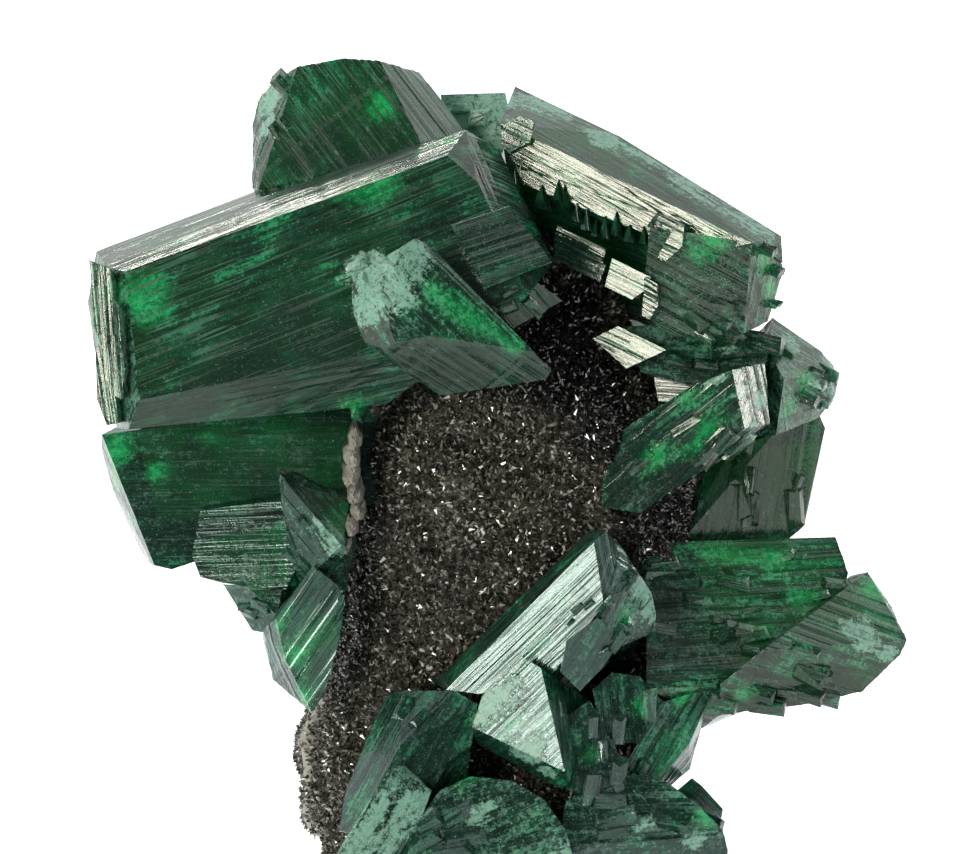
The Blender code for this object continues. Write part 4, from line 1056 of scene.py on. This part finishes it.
def crystal_group(name, material):
    """A group of crystals grown into each other, as one closed mesh."""
    dice = random.Random(name)
    crystals = grown_corners(name)
    crystals += overgrowth(name) + rubble(name, crystals)
    group = None
    for number, crystal in enumerate(crystals):
        block = striated(*crystal, dice, FROSTED_ENDS.get((name, number), ()))
        if group is None:
            group = made_object(name + "_look", block)
        else:
            join(group, block)
    group.data.name = group.name
    # The marks of painted glow, of painted shade and of frost
    finish(group, (("glow", PAINTED_GLOWS), ("gloom", PAINTED_SHADE_PLACES), ("frosted", FROSTED_PLACES)), material)
    return group


# ROCK AND DRUSE


def outline_at(height):
    """The rock's left, right, front and back at a height, in a straight line between the rows."""
    for lower, upper in zip(ROCK_OUTLINE, ROCK_OUTLINE[1:]):
        if height <= upper[0]:
            break
    share = min(max((height - lower[0]) / (upper[0] - lower[0]), 0.0), 1.0)
    return [below + (above - below) * share for below, above in zip(lower[1:], upper[1:])]


def rock_object(levels):
    """The lump of rock: a ball shaped to the outline, lumpy, and cut flat underneath."""
    block = bmesh.new()
    bmesh.ops.create_icosphere(block, subdivisions=levels, radius=1)
    bottom = ROCK_OUTLINE[0][0]
    top = ROCK_OUTLINE[-1][0]
    for vert in block.verts:
        ball = vert.co.copy()
        height = bottom + (ball.z + 1) / 2 * (top - bottom)
        left, right, front, back = outline_at(height)
        ring = Vector((ball.x, ball.y))
        blunt = ring.length ** ROCK_BLUNTNESS
        ring = ring.normalized() if ring.length > 0 else ring
        square = [math.copysign(abs(part) ** ROCK_SQUARENESS, part) * blunt / 2 for part in ring]
        place = Vector((
            (left + right) / 2 + square[0] * (right - left),
            (front + back) / 2 + square[1] * (back - front),
            height,
        ))
        outward = Vector((ring.x * blunt, ring.y * blunt, ball.z)).normalized()
        lumps = noise.noise(place / LUMP_SIZE) * LUMP_HEIGHT * 2
        bumps = noise.noise(place / BUMP_SIZE) * BUMP_HEIGHT * 2
        pits = noise.fractal(place / PIT_SIZE, 1.0, 2.0, 3) * PIT_DEPTH
        vert.co = (place + outward * (lumps + bumps + pits)) * MM
    made = bmesh.ops.bisect_plane(
        block, geom=block.verts[:] + block.edges[:] + block.faces[:], plane_co=(0, 0, 0), plane_no=(0, 0, -1),
        clear_outer=True, dist=1e-7)
    rim = [item for item in made["geom_cut"] if isinstance(item, bmesh.types.BMEdge)]
    bmesh.ops.contextual_create(block, geom=rim)
    bmesh.ops.recalc_face_normals(block, faces=block.faces)
    return made_object("gossan_matrix_look", block)


def rind_lump(spot, width, height):
    """A rounded lump of rind that reaches back into the rock, as a bmesh."""
    lump = bmesh.new()
    bmesh.ops.create_icosphere(lump, subdivisions=4, radius=1)
    for vert in lump.verts:
        bulge = 0.3 * noise.noise(vert.co * 1.5 + Vector(spot).to_3d())
        place = vert.co * (1 + bulge + 0.10 * noise.noise(vert.co * 8))
        place = Vector((place.x * width, place.y * RIND_REACH, place.z * height))
        vert.co = (in_space(spot, RIND_DEPTH) + place) * MM
    return lump


def druse_ground(levels):
    """The rock as the grains see it: how closely they cover each vertex."""
    hulls = [hull_planes(corners)
             for name in (*CRYSTALS, *BACK_CRYSTALS) for corners, *_ in grown_corners(name)]
    ground = rock_object(levels)
    cover = ground.data.attributes.new("cover", "FLOAT", "POINT")
    for vert, share in zip(ground.data.vertices, cover.data):
        place = vert.co / MM
        bare = max(0.0, *(1 - (place - Vector(spot)).length / reach for spot, reach in RIND))
        covered = place.z > LOWEST_GRAIN and not buried(place, hulls)
        share.value = max(SPARSE, 1 - bare * 3) if covered else 0.0
    return ground


class Nodes:
    """A geometry node tree under construction."""

    def __init__(self, name, sizes):
        self.tree = bpy.data.node_groups.new(name, "GeometryNodeTree")
        self.tree.interface.new_socket("Geometry", in_out="INPUT", socket_type="NodeSocketGeometry")
        self.identifiers = {}
        for size, kind in sizes.items():
            made = self.tree.interface.new_socket(size, in_out="INPUT", socket_type="NodeSocket" + kind)
            self.identifiers[size] = made.identifier
        self.tree.interface.new_socket("Geometry", in_out="OUTPUT", socket_type="NodeSocketGeometry")
        self.given = self.tree.nodes.new("NodeGroupInput").outputs

    def node(self, kind, settings=(), inputs=(), output=0):
        made = self.tree.nodes.new(kind)
        for name, setting in dict(settings).items():
            setattr(made, name, setting)
        named = inputs.items() if isinstance(inputs, dict) else enumerate(inputs)
        for name, given in named:
            if isinstance(given, bpy.types.NodeSocket):
                self.tree.links.new(given, made.inputs[name])
            else:
                made.inputs[name].default_value = given
        return made.outputs[output]

    def modify(self, obj, sizes):
        """Turns an object into what the tree makes of it, as a plain mesh."""
        modifier = obj.modifiers.new("made", "NODES")
        modifier.node_group = self.tree
        for size, given in sizes.items():
            modifier[self.identifiers[size]] = given
        shown = obj.evaluated_get(bpy.context.evaluated_depsgraph_get())
        made = bpy.data.meshes.new_from_object(shown)
        obj.modifiers.remove(modifier)
        obj.data = made
        made.name = obj.name


def druse_tree(material):
    """Grains scattered over a surface, each a four-sided crystal of its own size, tilt and shade."""
    make = Nodes("druse", {"Density": "Float", "Smallest": "Float", "Largest": "Float", "Tip": "Float",
                           "Seed": "Int"})
    cover = make.node("GeometryNodeInputNamedAttribute", {"data_type": "FLOAT"}, {"Name": "cover"})
    density = make.node("ShaderNodeMath", {"operation": "MULTIPLY"}, (make.given["Density"], cover))
    points = make.node("GeometryNodeDistributePointsOnFaces", {"distribute_method": "RANDOM"}, {
        "Mesh": make.given["Geometry"], "Density": density, "Seed": make.given["Seed"]})
    cone = make.node("GeometryNodeMeshCone", {"fill_type": "NGON"}, {
        "Vertices": GRAIN_SIDES, "Radius Top": make.given["Tip"], "Radius Bottom": GRAIN_FOOT,
        "Depth": GRAIN_TALL})
    lean = make.node("FunctionNodeRandomValue", {"data_type": "FLOAT_VECTOR"}, {
        0: (-GRAIN_LEAN, -GRAIN_LEAN, 0.0), 1: (GRAIN_LEAN, GRAIN_LEAN, GRAIN_TURN),
        "Seed": make.given["Seed"]})
    turned = make.node("FunctionNodeRotateRotation", {"rotation_space": "LOCAL"}, {
        0: points.node.outputs["Rotation"],
        1: make.node("FunctionNodeEulerToRotation", {}, (lean,))})
    size = make.node("FunctionNodeRandomValue", {"data_type": "FLOAT"}, {
        2: make.given["Smallest"], 3: make.given["Largest"], "Seed": SIZE_SEED}, output=1)
    instances = make.node("GeometryNodeInstanceOnPoints", {}, {
        "Points": points, "Instance": cone, "Rotation": turned, "Scale": size})
    shade = make.node("FunctionNodeRandomValue", {"data_type": "FLOAT"}, {"Seed": SHADE_SEED}, output=1)
    shaded = make.node("GeometryNodeStoreNamedAttribute", {"data_type": "FLOAT", "domain": "INSTANCE"}, {
        "Geometry": instances, "Name": "shade", "Value": shade})
    real = make.node("GeometryNodeRealizeInstances", {}, (shaded,))
    finished = make.node("GeometryNodeSetMaterial", {}, {"Geometry": real, "Material": material})
    out = make.tree.nodes.new("NodeGroupOutput")
    make.tree.links.new(finished, out.inputs[0])
    return make


# SETTINGS


class StageSettings(bpy.types.PropertyGroup):
    floor_colour: FloatVectorProperty(
        name="Floor", description="Colour of the floor", subtype="COLOR", size=3, default=(0.9, 0.9, 0.9))
    distance: FloatProperty(
        name="Camera distance", description="From the camera to the specimen, in metres", unit="LENGTH",
        default=0.22)
    sky: FloatProperty(name="Light", description="Strength of the light from behind and above", default=1.05)
    flash: FloatProperty(
        name="Flash", description="Strength of the lamp that the facets mirror", default=13.0)


class CrystalSettings(bpy.types.PropertyGroup):
    body_colour: FloatVectorProperty(
        name="Body colour", description="What a thin piece of crystal lets through", subtype="COLOR", size=3,
        default=(0.12, 0.86, 0.62))
    density: FloatProperty(
        name="Depth of colour", description="How fast the colour deepens, per mm", default=3.0)
    ior: FloatProperty(name="IOR", description="Refractive index", default=1.74)
    groove_strength: FloatProperty(
        name="Fine grooves", description="Strength of the fine grooves", default=0.8)
    groove_height: FloatProperty(name="Groove height", description="In millimetres", default=0.035)
    frost_cover: FloatProperty(
        name="Frost", description="How much of a frosted crystal is covered", default=0.9)


class RockSettings(bpy.types.PropertyGroup):
    levels: IntProperty(name="Levels", description="Fineness of the rock", default=6)
    density: FloatProperty(name="Grains per m2", description="How close the grains stand", default=17e6)
    smallest: FloatProperty(name="Smallest grain", description="In millimetres", default=0.06)
    largest: FloatProperty(name="Largest grain", description="In millimetres", default=0.19)


class SpecimenSettings(bpy.types.PropertyGroup):
    stage: PointerProperty(type=StageSettings)
    crystals: PointerProperty(type=CrystalSettings)
    rock: PointerProperty(type=RockSettings)


# STEPS


class SPECIMEN_OT_rock(bpy.types.Operator):
    """Makes the lump of rock"""

    bl_idname = "specimen.rock"
    bl_label = "Rock"

    def execute(self, context):
        rock = rock_object(context.scene.specimen.rock.levels)
        for lump in RIND_LUMPS:
            join(rock, rind_lump(*lump))
        # The hollows carry painted shade
        marks = (("grey", GREY_PATCHES), ("olive", OLIVE_PATCHES), ("rind", RIND), ("hollow", SHADED_HOLLOWS))
        finish(rock, marks, rock_material())
        put(rock, "gossan_matrix")
        return {"FINISHED"}


class SPECIMEN_OT_druse(bpy.types.Operator):
    """Covers the rock with tiny glittering crystals"""

    bl_idname = "specimen.druse"
    bl_label = "Druse"

    def execute(self, context):
        settings = context.scene.specimen.rock
        ground = druse_ground(settings.levels)
        tree = druse_tree(druse_material())
        for seed, name, tip, closeness in DRUSE:
            grains = bpy.data.objects.new(name, ground.data)
            context.collection.objects.link(grains)
            tree.modify(grains, {
                "Density": settings.density * closeness, "Smallest": settings.smallest * MM,
                "Largest": settings.largest * MM, "Tip": tip, "Seed": seed})
            # Grains in the hollows are darkened with painted shade
            mark(grains.data, "hollow", SHADED_HOLLOWS)
            put(grains, None)
        bpy.data.objects.remove(ground)
        return {"FINISHED"}


class SPECIMEN_OT_crystals(bpy.types.Operator):
    """Grows the crystals, front and back"""

    bl_idname = "specimen.crystals"
    bl_label = "Crystals"

    def execute(self, context):
        materials = {tint: crystal_material(context.scene.specimen.crystals, tint) for tint in GLOSS}
        for name in (*CRYSTALS, *BACK_CRYSTALS):
            group = crystal_group(name, materials["cool" if name in COOL_GROUPS else "warm"])
            put(group, name)
        return {"FINISHED"}


def floor(colour):
    """The floor, which glows behind the specimen as a lit backdrop would, and less in front."""
    data = bpy.data.meshes.new("floor")
    far = FLOOR_HALF
    data.from_pydata([(-far, -far, 0), (far, -far, 0), (far, far, 0), (-far, far, 0)], [], [(0, 1, 2, 3)])
    obj = bpy.data.objects.new("floor", data)
    bpy.context.collection.objects.link(obj)
    material = bpy.data.materials.new("floor")
    make = Shading(material)
    lit = make.step(make.node("SeparateXYZ", {}, (make.object_place(),), output="Y"), *FLOOR_LIT)
    make.show(make.node("BsdfPrincipled", {}, {
        "Base Color": (*colour, 1), "Roughness": 0.9, "Emission Strength": GLOW_STRENGTH,
        "Emission Color": make.mix(lit, *FLOOR_GLOW)}))
    data.materials.append(material)


def studio(strength):
    """A room that is bright behind and above the specimen and dark in front of it."""
    world = bpy.data.worlds.new("studio")
    make = Shading(world)
    way = make.node("TexCoord", output="Generated")
    facing = make.node("VectorMath", {"operation": "DOT_PRODUCT"}, (way, BRIGHT_SIDE), output="Value")
    light = make.mix(make.step(facing, *BRIGHT_FROM), *ROOM_LIGHT)
    make.show(make.node("Background", {}, (light, strength)), kind="OutputWorld")
    return world


def lamp(name, direction, size, radiance, colour):
    """A round lamp that faces the specimen from a direction, as bright as radiance to look at."""
    data = bpy.data.lights.new(name, "AREA")
    data.shape = "DISK"
    data.size = size
    data.color = colour
    data.energy = radiance * math.pi * math.pi * (size / 2) ** 2
    obj = bpy.data.objects.new(name, data)
    away = Vector(direction).normalized()
    obj.location = Vector((0, 0, LAMP_AIM)) + away * LAMP_DISTANCE
    obj.rotation_euler = (-away).to_track_quat("-Z", "Y").to_euler()
    bpy.context.collection.objects.link(obj)


def front_camera(distance):
    """A camera that looks at the middle of the front view and just takes in its width."""
    data = bpy.data.cameras.new("camera")
    data.sensor_width = 36
    data.lens = round(data.sensor_width * distance / (FRONT_VIEW_SIZE[0] * FRONT_VIEW_STEP * MM), 1)
    data.clip_start = 0.01
    data.clip_end = 20
    camera = bpy.data.objects.new("camera", data)
    forward = Vector((0, math.cos(FRONT_VIEW_TILT), -math.sin(FRONT_VIEW_TILT)))
    camera.location = Vector(FRONT_VIEW_MIDDLE) * MM - forward * distance
    camera.rotation_euler = forward.to_track_quat("-Z", "Y").to_euler()
    bpy.context.collection.objects.link(camera)
    return camera


class SPECIMEN_OT_stage(bpy.types.Operator):
    """Sets up the floor, the light and the camera"""

    bl_idname = "specimen.stage"
    bl_label = "Stage"

    def execute(self, context):
        settings = context.scene.specimen.stage
        context.scene.view_settings.view_transform = "Standard"
        floor(settings.floor_colour)
        context.scene.world = studio(settings.sky)
        for name, direction, size, share, colour in LAMPS:
            lamp(name, direction, size, settings.flash * share, colour)
        context.scene.camera = front_camera(settings.distance)
        return {"FINISHED"}


class SPECIMEN_PT_panel(bpy.types.Panel):
    """The specimen's pieces and settings"""

    bl_idname = "SPECIMEN_PT_panel"
    bl_label = "Adamite"
    bl_space_type = "VIEW_3D"
    bl_region_type = "UI"
    bl_category = "Adamite"

    def draw(self, context):
        settings = context.scene.specimen
        for group in (settings.crystals, settings.rock, settings.stage):
            for name in group.__annotations__:
                self.layout.prop(group, name)
        for step in STEPS:
            self.layout.operator(step.bl_idname)


STEPS = (SPECIMEN_OT_rock, SPECIMEN_OT_druse, SPECIMEN_OT_crystals, SPECIMEN_OT_stage)
CLASSES = (StageSettings, CrystalSettings, RockSettings, SpecimenSettings, *STEPS, SPECIMEN_PT_panel)


def register():
    for one in CLASSES:
        bpy.utils.register_class(one)
    bpy.types.Scene.specimen = PointerProperty(type=SpecimenSettings)


def unregister():
    del bpy.types.Scene.specimen
    for one in reversed(CLASSES):
        bpy.utils.unregister_class(one)


def main():
    register()
    bpy.ops.specimen.rock()
    bpy.ops.specimen.druse()
    bpy.ops.specimen.crystals()
    bpy.ops.specimen.stage()
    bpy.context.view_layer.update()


if __name__ == "__main__":
    main()
